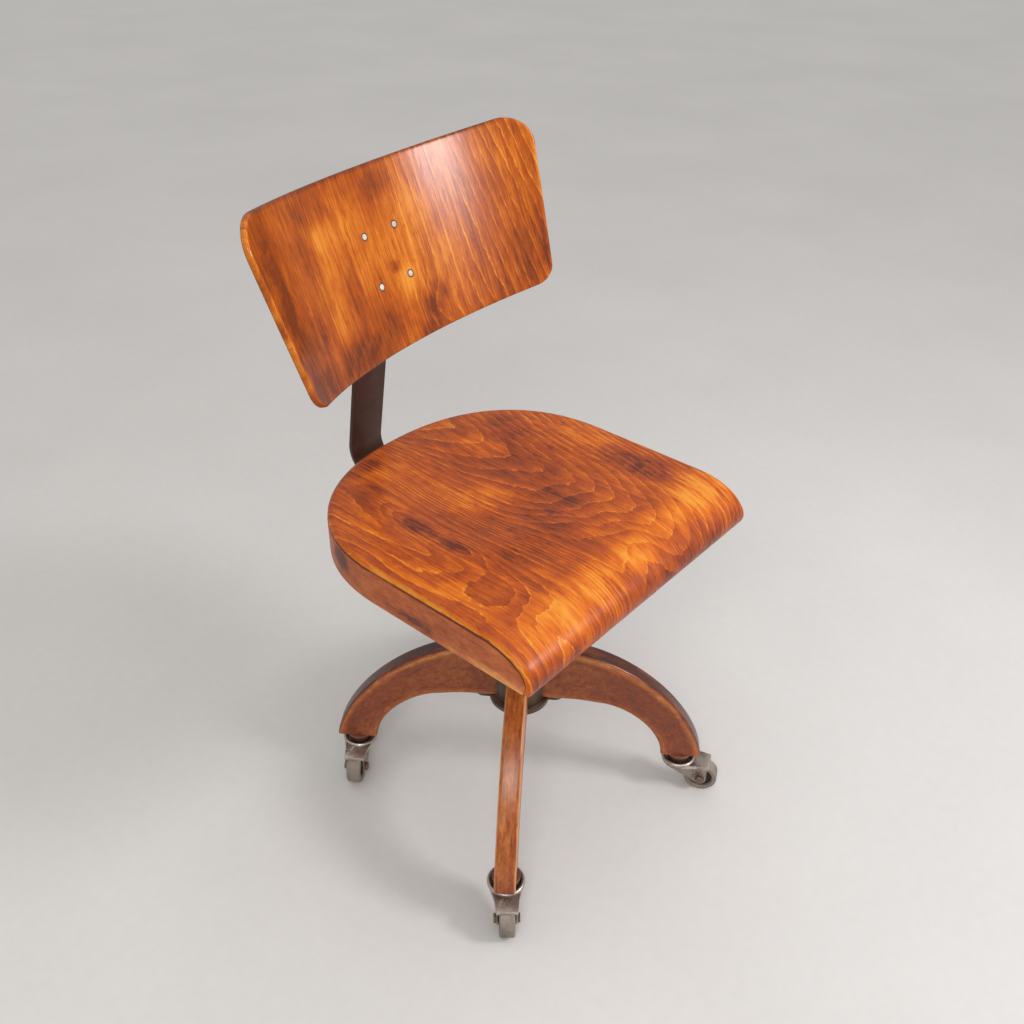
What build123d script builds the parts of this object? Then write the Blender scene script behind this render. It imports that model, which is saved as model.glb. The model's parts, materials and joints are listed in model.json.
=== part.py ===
from build123d import *
import os
from math import cos, degrees, radians, sin, tan

# Office chair: moulded wooden seat and back on a four-legged wooden base with casters.
# Millimetres. The floor is Z = 0, the spindle runs up the Z axis and the sitter faces -Y.

# Seat: a D-shaped plywood shell with a rolled front, glued onto a bent wooden rim
SEAT_HALF_WIDTH = 211.0
SEAT_CORNER_Y = 39.0
SEAT_BACK_DEPTH = 189.5
SEAT_BACK_POWER = 2.26
SEAT_FRONT_Y = -187.0
SEAT_TOP_Z = 468.0
RIM_HEIGHT = 47.0
RIM_THICKNESS = 22.0
SHELL_THICKNESS = 7.0
SEAT_EDGE_ROUND = 8.0
NOSE_LENGTH = 69.0
NOSE_DROP = 40.0
NOSE_TUCK = 5.0

# Wooden cross pieces under the shell
FRONT_RAIL_GAP = 15.0
FRONT_RAIL_DEPTH = 22.0
FRONT_RAIL_HEIGHT = 24.0
BATTEN_HEIGHT = 30.0
FRONT_BATTEN_Y = -50.0
FRONT_BATTEN_DEPTH = 40.0
REAR_BATTEN_Y = 76.0
REAR_BATTEN_DEPTH = 52.0

# Seat plate with its swivel boss
PLATE_HALF_WIDTH = 80.0
PLATE_THICKNESS = 4.0
PLATE_MARGIN = 6.0
BOSS_RADIUS = 23.0
BOSS_LENGTH = 36.0
PLATE_SCREW_SPACING = 136.0

# Back strap: flat steel, bolted under the rear batten, bent up behind the seat
STRAP_WIDTH = 54.0
STRAP_THICKNESS = 5.0
STRAP_FRONT_Y = 46.0
STRAP_BACK_Y = 291.45
STRAP_BEND_RADIUS = 34.0
STRAP_LEAN = 9.3
STRAP_BOLT_RADIUS = 4.0
STRAP_BOLT_HEAD_RADIUS = 7.5
STRAP_BOLT_HEAD_HEIGHT = 5.0
STRAP_NUT_HEIGHT = 6.5
STRAP_BOLT_SPACING_X = 36.0
STRAP_BOLT_SPACING_Y = 30.0

# Backrest: a bent plywood board that pivots on the strap's rolled eye
PIVOT_Z = 700.0
EYE_RADIUS = 8.0
EYE_OVERHANG = 4.0
PIVOT_PIN_RADIUS = 4.0
PIVOT_HEAD_RADIUS = 6.5
PIVOT_HEAD_LENGTH = 3.0
BOARD_STANDOFF = 24.35
BOARD_RISE = 17.2
BOARD_LEAN = 20.7
BOARD_YAW = 3.5
BOARD_ROLL = 2.0
BOARD_BEND_RADIUS = 411.0
BOARD_THICKNESS = 7.5
BOARD_HEIGHT = 210.3
BOARD_TOP_HALF_WIDTH = 239.0
BOARD_TOP_CROWN = 3.0
BOARD_BOTTOM_HALF_WIDTH = 214.0
BOARD_TOP_CORNER = 37.0
BOARD_BOTTOM_CORNER = 24.0
RIVET_SPACING_X = 51.0
RIVET_SPACING_H = 60.0
RIVET_CENTRE_H = 2.8
RIVET_RADIUS = 2.5
RIVET_HEAD_RADIUS = 4.0
RIVET_HEAD_HEIGHT = 1.2
BRACKET_THICKNESS = 3.0
BRACKET_HEIGHT = 84.0
EAR_RADIUS = 10.0
EAR_ROOT = 52.0

# Spindle and its height collar
SPINDLE_RADIUS = 13.0
SPINDLE_LENGTH = 251.0
SPINDLE_PIN_RADIUS = 10.0
SWIVEL_WASHER_RADIUS = 20.0
SWIVEL_WASHER_THICKNESS = 2.0
TOP_NUT_RADIUS = 16.0
TOP_NUT_HEIGHT = 11.0
PIN_END = 3.0
COLLAR_RADIUS = 27.0
COLLAR_HEIGHT = 17.0
COLLAR_SCALLOPS = 8
COLLAR_SCALLOP_RADIUS = 7.0
COLLAR_SCALLOP_DEPTH = 2.6
COLLAR_WASHER_RADIUS = 25.0
COLLAR_WASHER_THICKNESS = 2.0
LIFT_UP = 55.0
LIFT_DOWN = 45.0
KEY_WIDTH = 6.0
KEY_DEPTH = 3.0
KEY_HEAD_RADIUS = 7.0
KEY_HEAD_HEIGHT = 5.0
KEY_SHANK_RADIUS = 4.0

# Base: drum, leg plates and four arched legs
LEG_COUNT = 4
LEG_FIRST_ANGLE = 36.55
LEG_THICKNESS = 27.0
LEG_EDGE_ROUND = 4.0
LEG_REACH = 250.0
LEG_TOE_FLARE = 7.0
LEG_TIP_WIDTH = 56.0
LEG_TIP_Z = 62.0
LEG_TOP_Z = 241.0
LEG_LOW_Z = 156.0
LEG_TOP_FLAT = 55.0
LEG_LOW_FLAT = 64.0
LEG_LOW_SHOULDER = 108.0
LEG_LOW_SAG = 4.0
LEG_ARCH_POWER = 1.7
DRUM_RADIUS = 34.5
DRUM_BORE_RADIUS = 22.0
LEG_PLATE_THICKNESS = 4.0
LEG_PLATE_RADIUS = 41.0
LEG_PLATE_ROLL = 3.0
LUG_REACH = 60.0
LUG_WIDTH = 22.0
LUG_SCREW_INSET = 11.0
BUSH_FLANGE_RADIUS = 28.0
BUSH_FLANGE_THICKNESS = 3.0

# Wood screws of the leg plates and of the seat plate
SCREW_RADIUS = 2.5
SCREW_LENGTH = 26.0
SCREW_HEAD_RADIUS = 5.0
SCREW_HEAD_HEIGHT = 2.5

# Casters, one under each leg
CASTER_OFFSET = 29.0
CASTER_ANGLES = (-152.0, -145.0, -137.0, -65.0)
CASTER_TRAIL = 35.0
SOCKET_RADIUS = 7.5
SOCKET_LENGTH = 44.0
SOCKET_FLANGE_RADIUS = 18.0
SOCKET_FLANGE_THICKNESS = 4.0
RACE_RADIUS = 16.0
CUP_RADIUS = 22.5
CUP_FOOT_RADIUS = 19.0
CUP_WALL = 2.0
CUP_RIM_Z = 50.0
CUP_HEIGHT = 8.0
BALL_RADIUS = 2.5
BALL_COUNT = 10
STEM_RADIUS = 5.0
WHEEL_RADIUS = 23.0
WHEEL_WIDTH = 19.6
TYRE_THICKNESS = 6.0
TYRE_EDGE_ROUND = 2.5
WHEEL_WEB = 8.0
WHEEL_HUB_RADIUS = 7.5
FORK_GAP = 21.8
FORK_CHEEK = 2.4
FORK_CROWN_HEIGHT = 7.0
FORK_CROWN_HALF_LENGTH = 14.0
FORK_HOOD_THICKNESS = 2.8
FORK_HOOD_EDGE = 5.0
FORK_HOOD_OVERHANG = 10.6
FORK_CHEEK_INSET = 2.0
FORK_BOSS_RADIUS = 8.0
AXLE_RADIUS = 4.0
AXLE_NUT_RADIUS = 6.5
AXLE_NUT_HEIGHT = 3.2

# Clearances
RUNNING_FIT = 0.05
FIXED_FIT = 0.1
SIDE_PLAY = 0.4
OVERCUT = 20.0
CURVE_STEPS = 8

# Heights and places that follow from the sizes above
SHELL_UNDER_Z = SEAT_TOP_Z - SHELL_THICKNESS
RIM_BOTTOM_Z = SHELL_UNDER_Z - RIM_HEIGHT
SEAT_BACK_Y = SEAT_CORNER_Y + SEAT_BACK_DEPTH
NOSE_START_Y = SEAT_FRONT_Y + NOSE_LENGTH
NOSE_CENTRE_Z = SEAT_TOP_Z - NOSE_DROP
PLATE_BOTTOM_Z = RIM_BOTTOM_Z - PLATE_THICKNESS
PLATE_FRONT_Y = FRONT_BATTEN_Y - FRONT_BATTEN_DEPTH / 2 - PLATE_MARGIN
PLATE_BACK_Y = REAR_BATTEN_Y + REAR_BATTEN_DEPTH / 2 + PLATE_MARGIN
BATTEN_TOP_Z = RIM_BOTTOM_Z + BATTEN_HEIGHT
STRAP_MID_Z = PLATE_BOTTOM_Z - STRAP_THICKNESS / 2
STRAP_BOTTOM_Z = PLATE_BOTTOM_Z - STRAP_THICKNESS
BOSS_BOTTOM_Z = PLATE_BOTTOM_Z - BOSS_LENGTH
SPINDLE_TOP_Z = BOSS_BOTTOM_Z - SWIVEL_WASHER_THICKNESS
SPINDLE_BOTTOM_Z = SPINDLE_TOP_Z - SPINDLE_LENGTH
TOP_NUT_Z = RIM_BOTTOM_Z + SIDE_PLAY
UPPER_PLATE_TOP_Z = LEG_TOP_Z + LEG_PLATE_THICKNESS
LOWER_PLATE_BOTTOM_Z = LEG_LOW_Z - LEG_PLATE_THICKNESS
COLLAR_Z = UPPER_PLATE_TOP_Z + COLLAR_WASHER_THICKNESS
KEY_Z = (LEG_TOP_Z + LEG_LOW_Z) / 2
LUG_SCREW_RADIUS = LUG_REACH - LUG_SCREW_INSET
LEG_END = LEG_REACH + LEG_TOE_FLARE
CASTER_RADIUS = LEG_END - CASTER_OFFSET
LEG_ANGLES = [LEG_FIRST_ANGLE + 360 / LEG_COUNT * i for i in range(LEG_COUNT)]
CUP_FLOOR_Z = CUP_RIM_Z - CUP_HEIGHT + CUP_WALL
CUP_BOTTOM_Z = CUP_RIM_Z - CUP_HEIGHT
RACE_BOTTOM_Z = CUP_FLOOR_Z + 2 * BALL_RADIUS + 2 * SIDE_PLAY
FORK_OUTER = FORK_GAP / 2 + FORK_CHEEK
HOOD_TOP_Z = 2 * WHEEL_RADIUS + SIDE_PLAY + FORK_HOOD_THICKNESS
HOOD_EDGE_Z = HOOD_TOP_Z - FORK_HOOD_EDGE
HOOD_END = CASTER_TRAIL + FORK_HOOD_OVERHANG
EYE_LENGTH = STRAP_WIDTH + 2 * EYE_OVERHANG

PARTS = {}


def cylinder(radius, bottom, top):
    """A round bar on the Z axis between two heights."""
    return Pos(0, 0, bottom) * Cylinder(radius, top - bottom, align=(Align.CENTER, Align.CENTER, Align.MIN))


def box(low, high):
    """A box between two corners."""
    size = [b - a for a, b in zip(low, high)]
    return Pos(*low) * Box(*size, align=(Align.MIN, Align.MIN, Align.MIN))


def hexagon(radius, bottom, top):
    """A six-sided nut blank on the Z axis; radius reaches the corners."""
    return Pos(0, 0, bottom) * extrude(RegularPolygon(radius, 6), amount=top - bottom)


def arch(half_width, height, power):
    """Points of a quarter superellipse, from its level start to its upright end."""
    angles = [radians(90 - 90 * i / CURVE_STEPS) for i in range(CURVE_STEPS + 1)]
    return [(half_width * cos(a) ** (2 / power), height * sin(a) ** (2 / power)) for a in angles]


def screw(tip_up):
    """A pan-head wood screw, head on Z = 0 outside the wood, shank along +Z or -Z."""
    way = 1 if tip_up else -1
    head = cylinder(SCREW_HEAD_RADIUS, *sorted((-way * SCREW_HEAD_HEIGHT, 0)))
    shank = cylinder(SCREW_RADIUS, *sorted((0, way * SCREW_LENGTH)))
    return head + shank


def screw_hole():
    """The hole for a wood screw, long enough to pass plate and wood from either side."""
    return cylinder(SCREW_RADIUS + FIXED_FIT, -SCREW_LENGTH - FIXED_FIT, SCREW_LENGTH + FIXED_FIT)


# Seat shell, rim and cross pieces
def seat_outline(inset, front_y):
    """The seat's plan: straight sides from front_y, then a full round back."""
    half = SEAT_HALF_WIDTH - inset
    depth = SEAT_BACK_DEPTH - inset
    quarter = [(x, SEAT_CORNER_Y + y) for x, y in arch(half, depth, SEAT_BACK_POWER)]
    mirrored = [(-x, y) for x, y in quarter]
    right = Spline(quarter, tangents=[(1, 0), (0, -1)])
    left = Spline(mirrored, tangents=[(-1, 0), (0, -1)])
    sides = Polyline((half, SEAT_CORNER_Y), (half, front_y), (-half, front_y), (-half, SEAT_CORNER_Y))
    return make_face(Wire([*right.edges(), *sides.edges(), *left.edges()]))


def nose_line(inset):
    """Side view of the shell's skin: level top, rounded nose and the tuck below it."""
    top = SEAT_TOP_Z - inset
    front = SEAT_FRONT_Y + inset
    back = SEAT_BACK_Y + OVERCUT
    level = Line((back, top), (NOSE_START_Y, top))
    nose_middle = (NOSE_START_Y, NOSE_CENTRE_Z)
    nose = EllipticalCenterArc(nose_middle, NOSE_LENGTH - inset, NOSE_DROP - inset, 90, arc_size=90)
    tuck = TangentArc((front, NOSE_CENTRE_Z), (front + NOSE_TUCK, RIM_BOTTOM_Z), tangent=(0, -1))
    return [level, nose, tuck]


def side_solid(edges):
    """A closed side view, drawn in Y and Z, as a prism across the whole seat."""
    reach = SEAT_HALF_WIDTH + OVERCUT
    return Pos(-reach, 0, 0) * extrude(Plane.YZ * make_face(edges), amount=2 * reach)


def plan_prism(inset, front_y):
    """The seat's plan raised from the rim's lower edge past the seat's top."""
    height = SEAT_TOP_Z - RIM_BOTTOM_Z + OVERCUT
    return Pos(0, 0, RIM_BOTTOM_Z) * extrude(seat_outline(inset, front_y), amount=height)


def below(skin):
    """All that lies under a skin of the shell, down to the rim's lower edge."""
    low_back = (SEAT_BACK_Y + OVERCUT, RIM_BOTTOM_Z)
    return side_solid([*skin, Line(skin[2] @ 1, low_back), Line(low_back, skin[0] @ 0)])


plan_front = SEAT_FRONT_Y - OVERCUT
seat_block = below(nose_line(0)) & plan_prism(0, plan_front)
block_edges = seat_block.edges().filter_by(Axis.X, reverse=True).filter_by(Axis.Z, reverse=True)
seat_block = fillet([e for e in block_edges if e.center().Z > RIM_BOTTOM_Z + FIXED_FIT], SEAT_EDGE_ROUND)
under_shell = below(nose_line(SHELL_THICKNESS))
inside = plan_prism(RIM_THICKNESS, plan_front - OVERCUT)
PARTS["seat_shell"] = seat_block - under_shell
PARTS["seat_rim"] = (seat_block & under_shell) - inside


def cross_piece(low_y, high_y, height):
    """A wooden bar between the rim's two inner faces, level with the rim's lower edge."""
    reach = SEAT_HALF_WIDTH
    return box((-reach, low_y, RIM_BOTTOM_Z), (reach, high_y, RIM_BOTTOM_Z + height)) & inside


rail_front_y = SEAT_FRONT_Y + NOSE_TUCK + FRONT_RAIL_GAP
front_rail = cross_piece(rail_front_y, rail_front_y + FRONT_RAIL_DEPTH, FRONT_RAIL_HEIGHT)
half_front = FRONT_BATTEN_DEPTH / 2
half_rear = REAR_BATTEN_DEPTH / 2
front_batten = cross_piece(FRONT_BATTEN_Y - half_front, FRONT_BATTEN_Y + half_front, BATTEN_HEIGHT)
rear_batten = cross_piece(REAR_BATTEN_Y - half_rear, REAR_BATTEN_Y + half_rear, BATTEN_HEIGHT)

# Seat plate, its screws, and the strap's bolts
plate_low = (-PLATE_HALF_WIDTH, PLATE_FRONT_Y, PLATE_BOTTOM_Z)
seat_plate = box(plate_low, (PLATE_HALF_WIDTH, PLATE_BACK_Y, RIM_BOTTOM_Z))
seat_plate += cylinder(BOSS_RADIUS, BOSS_BOTTOM_Z, RIM_BOTTOM_Z)
seat_plate -= cylinder(SPINDLE_PIN_RADIUS + RUNNING_FIT, BOSS_BOTTOM_Z, RIM_BOTTOM_Z)
plate_screw_places = [
    Pos(side * PLATE_SCREW_SPACING / 2, y, PLATE_BOTTOM_Z)
    for side in (-1, 1)
    for y in (FRONT_BATTEN_Y, REAR_BATTEN_Y)
]
strap_bolt_places = [
    Pos(x * STRAP_BOLT_SPACING_X / 2, REAR_BATTEN_Y + y * STRAP_BOLT_SPACING_Y / 2, STRAP_BOTTOM_Z)
    for x in (-1, 1)
    for y in (-1, 1)
]
bolt_grip = BATTEN_TOP_Z - STRAP_BOTTOM_Z
bolt_hole = cylinder(STRAP_BOLT_RADIUS + FIXED_FIT, -OVERCUT, bolt_grip + OVERCUT)
strap_bolt = hexagon(STRAP_BOLT_HEAD_RADIUS, -STRAP_BOLT_HEAD_HEIGHT, 0)
strap_bolt += cylinder(STRAP_BOLT_RADIUS, 0, bolt_grip + STRAP_NUT_HEIGHT + PIN_END)
strap_nut = hexagon(STRAP_BOLT_HEAD_RADIUS, bolt_grip, bolt_grip + STRAP_NUT_HEIGHT) - bolt_hole
plate_screw_holes = [place * screw_hole() for place in plate_screw_places]
strap_bolt_holes = [place * bolt_hole for place in strap_bolt_places]
PARTS["front_rail"] = front_rail
PARTS["front_batten"] = front_batten - plate_screw_holes
PARTS["rear_batten"] = rear_batten - plate_screw_holes - strap_bolt_holes
PARTS["seat_plate"] = seat_plate - plate_screw_holes - strap_bolt_holes
PARTS["plate_screws"] = Compound([(place * screw(True)).solid() for place in plate_screw_places])
PARTS["strap_bolts"] = Compound([(place * strap_bolt).solid() for place in strap_bolt_places])
PARTS["strap_nuts"] = Compound([(place * strap_nut).solid() for place in strap_bolt_places])

# Back strap: level under the seat, a bend, then a straight rise that leans forward to the eye
lean_slope = tan(radians(STRAP_LEAN))
strap_corner_y = STRAP_BACK_Y - STRAP_THICKNESS / 2
PIVOT_Y = strap_corner_y - lean_slope * (PIVOT_Z - STRAP_MID_Z)
PIVOT = Pos(0, PIVOT_Y, PIVOT_Z)
half_strap = STRAP_THICKNESS / 2
rise_dir = Vector(-sin(radians(STRAP_LEAN)), cos(radians(STRAP_LEAN)))
rise_normal = Vector(rise_dir.Y, -rise_dir.X)
mitre = half_strap * tan(radians(45 + STRAP_LEAN / 2))
corner = Vector(strap_corner_y, STRAP_MID_Z)
outer_corner = corner + Vector(mitre, -half_strap)
inner_corner = corner + Vector(-mitre, half_strap)
eye_centre = Vector(PIVOT_Y, PIVOT_Z)
strap_points = [
    Vector(STRAP_FRONT_Y, STRAP_MID_Z - half_strap),
    outer_corner,
    eye_centre + rise_normal * half_strap,
    eye_centre - rise_normal * half_strap,
    inner_corner,
    Vector(STRAP_FRONT_Y, STRAP_MID_Z + half_strap),
]
strap_side = make_face(Polyline(*strap_points, close=True))
strap_side = fillet(strap_side.vertices().sort_by_distance(outer_corner)[0], STRAP_BEND_RADIUS + half_strap)
strap_side = fillet(strap_side.vertices().sort_by_distance(inner_corner)[0], STRAP_BEND_RADIUS - half_strap)
cross_bar = Rot(0, 90, 0)
strap = extrude(Plane.YZ * strap_side, amount=STRAP_WIDTH / 2, both=True)
strap += PIVOT * cross_bar * Cylinder(EYE_RADIUS, EYE_LENGTH)
strap -= PIVOT * cross_bar * Cylinder(PIVOT_PIN_RADIUS + RUNNING_FIT, EYE_LENGTH)
PARTS["back_strap"] = strap - strap_bolt_holes

# Backrest board: bent about an upright axis in front of it, with rounded corners
BOARD_TURN = Rot(0, 0, BOARD_YAW) * Rot(-BOARD_LEAN, 0, 0) * Rot(0, -BOARD_ROLL, 0)
BOARD_CENTRE_Y = PIVOT_Y - BOARD_STANDOFF
BOARD_CENTRE_Z = PIVOT_Z + BOARD_RISE
BOARD = Pos(0, BOARD_CENTRE_Y, BOARD_CENTRE_Z) * BOARD_TURN
BEND_AXIS = Pos(0, -BOARD_BEND_RADIUS, 0)
BOARD_BACK_RADIUS = BOARD_BEND_RADIUS + BOARD_THICKNESS


def bent_sheet(front_radius, thickness, outline):
    """The part of a round sheet behind a flat outline, in the board's own frame."""
    tall = BOARD_HEIGHT + 2 * OVERCUT
    ring = BEND_AXIS * (Cylinder(front_radius + thickness, tall) - Cylinder(front_radius, tall))
    block = extrude(Plane.XZ * outline, amount=BOARD_BEND_RADIUS, both=True)
    return ring & block


half_height = BOARD_HEIGHT / 2
top_left = (-BOARD_TOP_HALF_WIDTH, half_height)
top_right = (BOARD_TOP_HALF_WIDTH, half_height)
bottom_left = (-BOARD_BOTTOM_HALF_WIDTH, -half_height)
bottom_right = (BOARD_BOTTOM_HALF_WIDTH, -half_height)
board_outline = make_face([
    Line(bottom_left, bottom_right),
    Line(bottom_right, top_right),
    ThreePointArc(top_right, (0, half_height + BOARD_TOP_CROWN), top_left),
    Line(top_left, bottom_left),
])
board_outline = fillet(board_outline.vertices().sort_by(Axis.Y)[-2:], BOARD_TOP_CORNER)
board_outline = fillet(board_outline.vertices().sort_by(Axis.Y)[:2], BOARD_BOTTOM_CORNER)
board = bent_sheet(BOARD_BEND_RADIUS, BOARD_THICKNESS, board_outline)

# Bracket on the board's back: a plate bent to the board, with two ears round the strap's eye
ear_inner = EYE_LENGTH / 2 + SIDE_PLAY
ear_outer = ear_inner + BRACKET_THICKNESS
plate_outline = Pos(0, RIVET_CENTRE_H) * Rectangle(2 * ear_outer, BRACKET_HEIGHT)
bracket = BOARD * bent_sheet(BOARD_BACK_RADIUS, BRACKET_THICKNESS, plate_outline)
board_up = Vector(sin(radians(BOARD_LEAN)), cos(radians(BOARD_LEAN)))
board_forward = Vector(-board_up.Y, board_up.X)
board_centre = Vector(BOARD_CENTRE_Y, BOARD_CENTRE_Z)
pivot_height = (eye_centre - board_centre).dot(board_up)
root = board_centre + board_up * pivot_height
ear_side = make_hull([
    *CenterArc((PIVOT_Y, PIVOT_Z), EAR_RADIUS, 0, 360).edges(),
    *Line(root - board_up * EAR_ROOT / 2, root + board_up * EAR_ROOT / 2).edges(),
])
ear_hole = PIVOT * cross_bar * Cylinder(PIVOT_PIN_RADIUS + FIXED_FIT, 4 * ear_outer)
board_core = BOARD * BEND_AXIS * Cylinder(BOARD_BACK_RADIUS, BOARD_HEIGHT + 2 * OVERCUT)
for side in (-1, 1):
    ear = extrude(Plane.YZ * ear_side, BRACKET_THICKNESS / 2, both=True)
    bracket += Pos(side * (ear_inner + ear_outer) / 2, 0, 0) * ear - board_core
bracket -= ear_hole

# Rivets through board and bracket, square to the bent board
rivet_turn = degrees(RIVET_SPACING_X / 2 / BOARD_BEND_RADIUS)
rivet_rows = [Pos(0, 0, RIVET_CENTRE_H + row * RIVET_SPACING_H / 2) for row in (-1, 1)]
rivet_places = [
    BOARD * BEND_AXIS * Rot(0, 0, side * rivet_turn) * row * Rot(-90, 0, 0)
    for side in (-1, 1)
    for row in rivet_rows
]
rivet_back = BOARD_BACK_RADIUS + BRACKET_THICKNESS
rivet = cylinder(RIVET_RADIUS, BOARD_BEND_RADIUS, rivet_back)
rivet += cylinder(RIVET_HEAD_RADIUS, BOARD_BEND_RADIUS - RIVET_HEAD_HEIGHT, BOARD_BEND_RADIUS)
rivet += cylinder(RIVET_HEAD_RADIUS, rivet_back, rivet_back + RIVET_HEAD_HEIGHT)
rivet_bore = cylinder(RIVET_RADIUS + FIXED_FIT, BOARD_BEND_RADIUS - OVERCUT, rivet_back + OVERCUT)
rivet_seat = cylinder(RIVET_HEAD_RADIUS + FIXED_FIT, BOARD_BEND_RADIUS - OVERCUT, BOARD_BEND_RADIUS)
rivet_seat += cylinder(RIVET_HEAD_RADIUS + FIXED_FIT, rivet_back, rivet_back + OVERCUT)
rivet_cuts = [place * (rivet_bore + rivet_seat) for place in rivet_places]
PARTS["backrest_board"] = BOARD * board - rivet_cuts
PARTS["backrest_bracket"] = bracket - rivet_cuts
PARTS["backrest_rivets"] = Compound([(place * rivet).solid() for place in rivet_places])
pin = Cylinder(PIVOT_PIN_RADIUS, 2 * ear_outer)
pin_head = Cylinder(PIVOT_HEAD_RADIUS, PIVOT_HEAD_LENGTH)
for side in (-1, 1):
    pin += Pos(0, 0, side * (ear_outer + PIVOT_HEAD_LENGTH / 2)) * pin_head
PARTS["pivot_pin"] = PIVOT * cross_bar * pin

# Spindle with its keyway, the swivel washer and the nut that holds the seat down
key_slot_low = KEY_Z - LIFT_UP - 2 * KEY_WIDTH
key_slot_high = KEY_Z + LIFT_DOWN + 2 * KEY_WIDTH
key_slot = box(
    (SPINDLE_RADIUS - KEY_DEPTH, -KEY_WIDTH / 2 - SIDE_PLAY, key_slot_low),
    (SPINDLE_RADIUS + OVERCUT, KEY_WIDTH / 2 + SIDE_PLAY, key_slot_high),
)
key_turn = Rot(0, 0, LEG_FIRST_ANGLE + 180 / LEG_COUNT)
pin_top_z = TOP_NUT_Z + TOP_NUT_HEIGHT + PIN_END
spindle = cylinder(SPINDLE_RADIUS, SPINDLE_BOTTOM_Z, SPINDLE_TOP_Z) - key_turn * key_slot
spindle += cylinder(SPINDLE_PIN_RADIUS, SPINDLE_TOP_Z, pin_top_z)
pin_hole = cylinder(SPINDLE_PIN_RADIUS + FIXED_FIT, SPINDLE_TOP_Z, pin_top_z)
PARTS["spindle"] = spindle
PARTS["swivel_washer"] = cylinder(SWIVEL_WASHER_RADIUS, SPINDLE_TOP_Z, BOSS_BOTTOM_Z) - pin_hole
PARTS["spindle_top_nut"] = hexagon(TOP_NUT_RADIUS, TOP_NUT_Z, TOP_NUT_Z + TOP_NUT_HEIGHT) - pin_hole

# Height collar: a scalloped hand nut that rides on the upper leg plate
collar_top_z = COLLAR_Z + COLLAR_HEIGHT
spindle_bore = cylinder(SPINDLE_RADIUS + RUNNING_FIT, LOWER_PLATE_BOTTOM_Z - OVERCUT, collar_top_z)
collar = cylinder(COLLAR_RADIUS, COLLAR_Z, collar_top_z)
scallop_reach = COLLAR_RADIUS + COLLAR_SCALLOP_RADIUS - COLLAR_SCALLOP_DEPTH
for i in range(COLLAR_SCALLOPS):
    scallop = Pos(scallop_reach, 0, 0) * cylinder(COLLAR_SCALLOP_RADIUS, COLLAR_Z, collar_top_z)
    collar -= Rot(0, 0, 360 / COLLAR_SCALLOPS * i) * scallop
PARTS["height_collar"] = collar - spindle_bore
collar_washer = cylinder(COLLAR_WASHER_RADIUS, UPPER_PLATE_TOP_Z, COLLAR_Z)
PARTS["collar_washer"] = collar_washer - cylinder(SPINDLE_RADIUS + SIDE_PLAY, UPPER_PLATE_TOP_Z, COLLAR_Z)

# Hub: drum, guide bush, key screw and the two leg plates
bush_hole = cylinder(DRUM_BORE_RADIUS + FIXED_FIT, LOWER_PLATE_BOTTOM_Z - OVERCUT, UPPER_PLATE_TOP_Z)
bush = cylinder(DRUM_BORE_RADIUS, LOWER_PLATE_BOTTOM_Z, UPPER_PLATE_TOP_Z)
bush += cylinder(BUSH_FLANGE_RADIUS, LOWER_PLATE_BOTTOM_Z - BUSH_FLANGE_THICKNESS, LOWER_PLATE_BOTTOM_Z)
key_tip = SPINDLE_RADIUS - KEY_DEPTH + SIDE_PLAY
key_along = key_turn * Pos(0, 0, KEY_Z) * Rot(0, 90, 0)
key_screw = cylinder(KEY_WIDTH / 2, key_tip, DRUM_BORE_RADIUS)
key_screw += cylinder(KEY_SHANK_RADIUS, DRUM_BORE_RADIUS - SIDE_PLAY, DRUM_RADIUS)
key_screw += cylinder(KEY_HEAD_RADIUS, DRUM_RADIUS, DRUM_RADIUS + KEY_HEAD_HEIGHT)
key_hole = cylinder(KEY_SHANK_RADIUS + FIXED_FIT, 0, DRUM_RADIUS + OVERCUT)
key_seat = cylinder(KEY_HEAD_RADIUS + FIXED_FIT, DRUM_RADIUS, DRUM_RADIUS + OVERCUT)
key_cut = key_along * (key_hole + key_seat)
PARTS["guide_bush"] = bush - spindle_bore - key_along * key_hole
PARTS["key_screw"] = key_along * key_screw
PARTS["hub_drum"] = cylinder(DRUM_RADIUS, LEG_LOW_Z, LEG_TOP_Z) - bush_hole - key_cut


def leg_plate(bottom_z):
    """A round plate with one rounded lug for each leg, drilled for the lug screws."""
    plate = Circle(LEG_PLATE_RADIUS)
    for angle in LEG_ANGLES:
        end = LUG_REACH - LUG_WIDTH / 2
        lug = Pos(end / 2, 0) * Rectangle(end, LUG_WIDTH) + Pos(end, 0) * Circle(LUG_WIDTH / 2)
        plate += Rot(0, 0, angle) * lug
    return Pos(0, 0, bottom_z) * extrude(plate, amount=LEG_PLATE_THICKNESS) - bush_hole


def around(shape, angle, radius, height):
    """A shape moved out along a leg's direction to a radius and a height."""
    return Rot(0, 0, angle) * Pos(radius, 0, height) * shape


lower_screws = [around(screw(True), a, LUG_SCREW_RADIUS, LOWER_PLATE_BOTTOM_Z) for a in LEG_ANGLES]
upper_screws = [around(screw(False), a, LUG_SCREW_RADIUS, UPPER_PLATE_TOP_Z) for a in LEG_ANGLES]
lower_holes = [around(screw_hole(), a, LUG_SCREW_RADIUS, LOWER_PLATE_BOTTOM_Z) for a in LEG_ANGLES]
upper_holes = [around(screw_hole(), a, LUG_SCREW_RADIUS, UPPER_PLATE_TOP_Z) for a in LEG_ANGLES]
plate_lip = cylinder(LEG_PLATE_RADIUS, LOWER_PLATE_BOTTOM_Z - LEG_PLATE_ROLL, LEG_LOW_Z)
plate_lip -= cylinder(DRUM_RADIUS, LOWER_PLATE_BOTTOM_Z - LEG_PLATE_ROLL, LEG_LOW_Z)
PARTS["lower_leg_plate"] = leg_plate(LOWER_PLATE_BOTTOM_Z) + plate_lip - lower_holes
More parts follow.
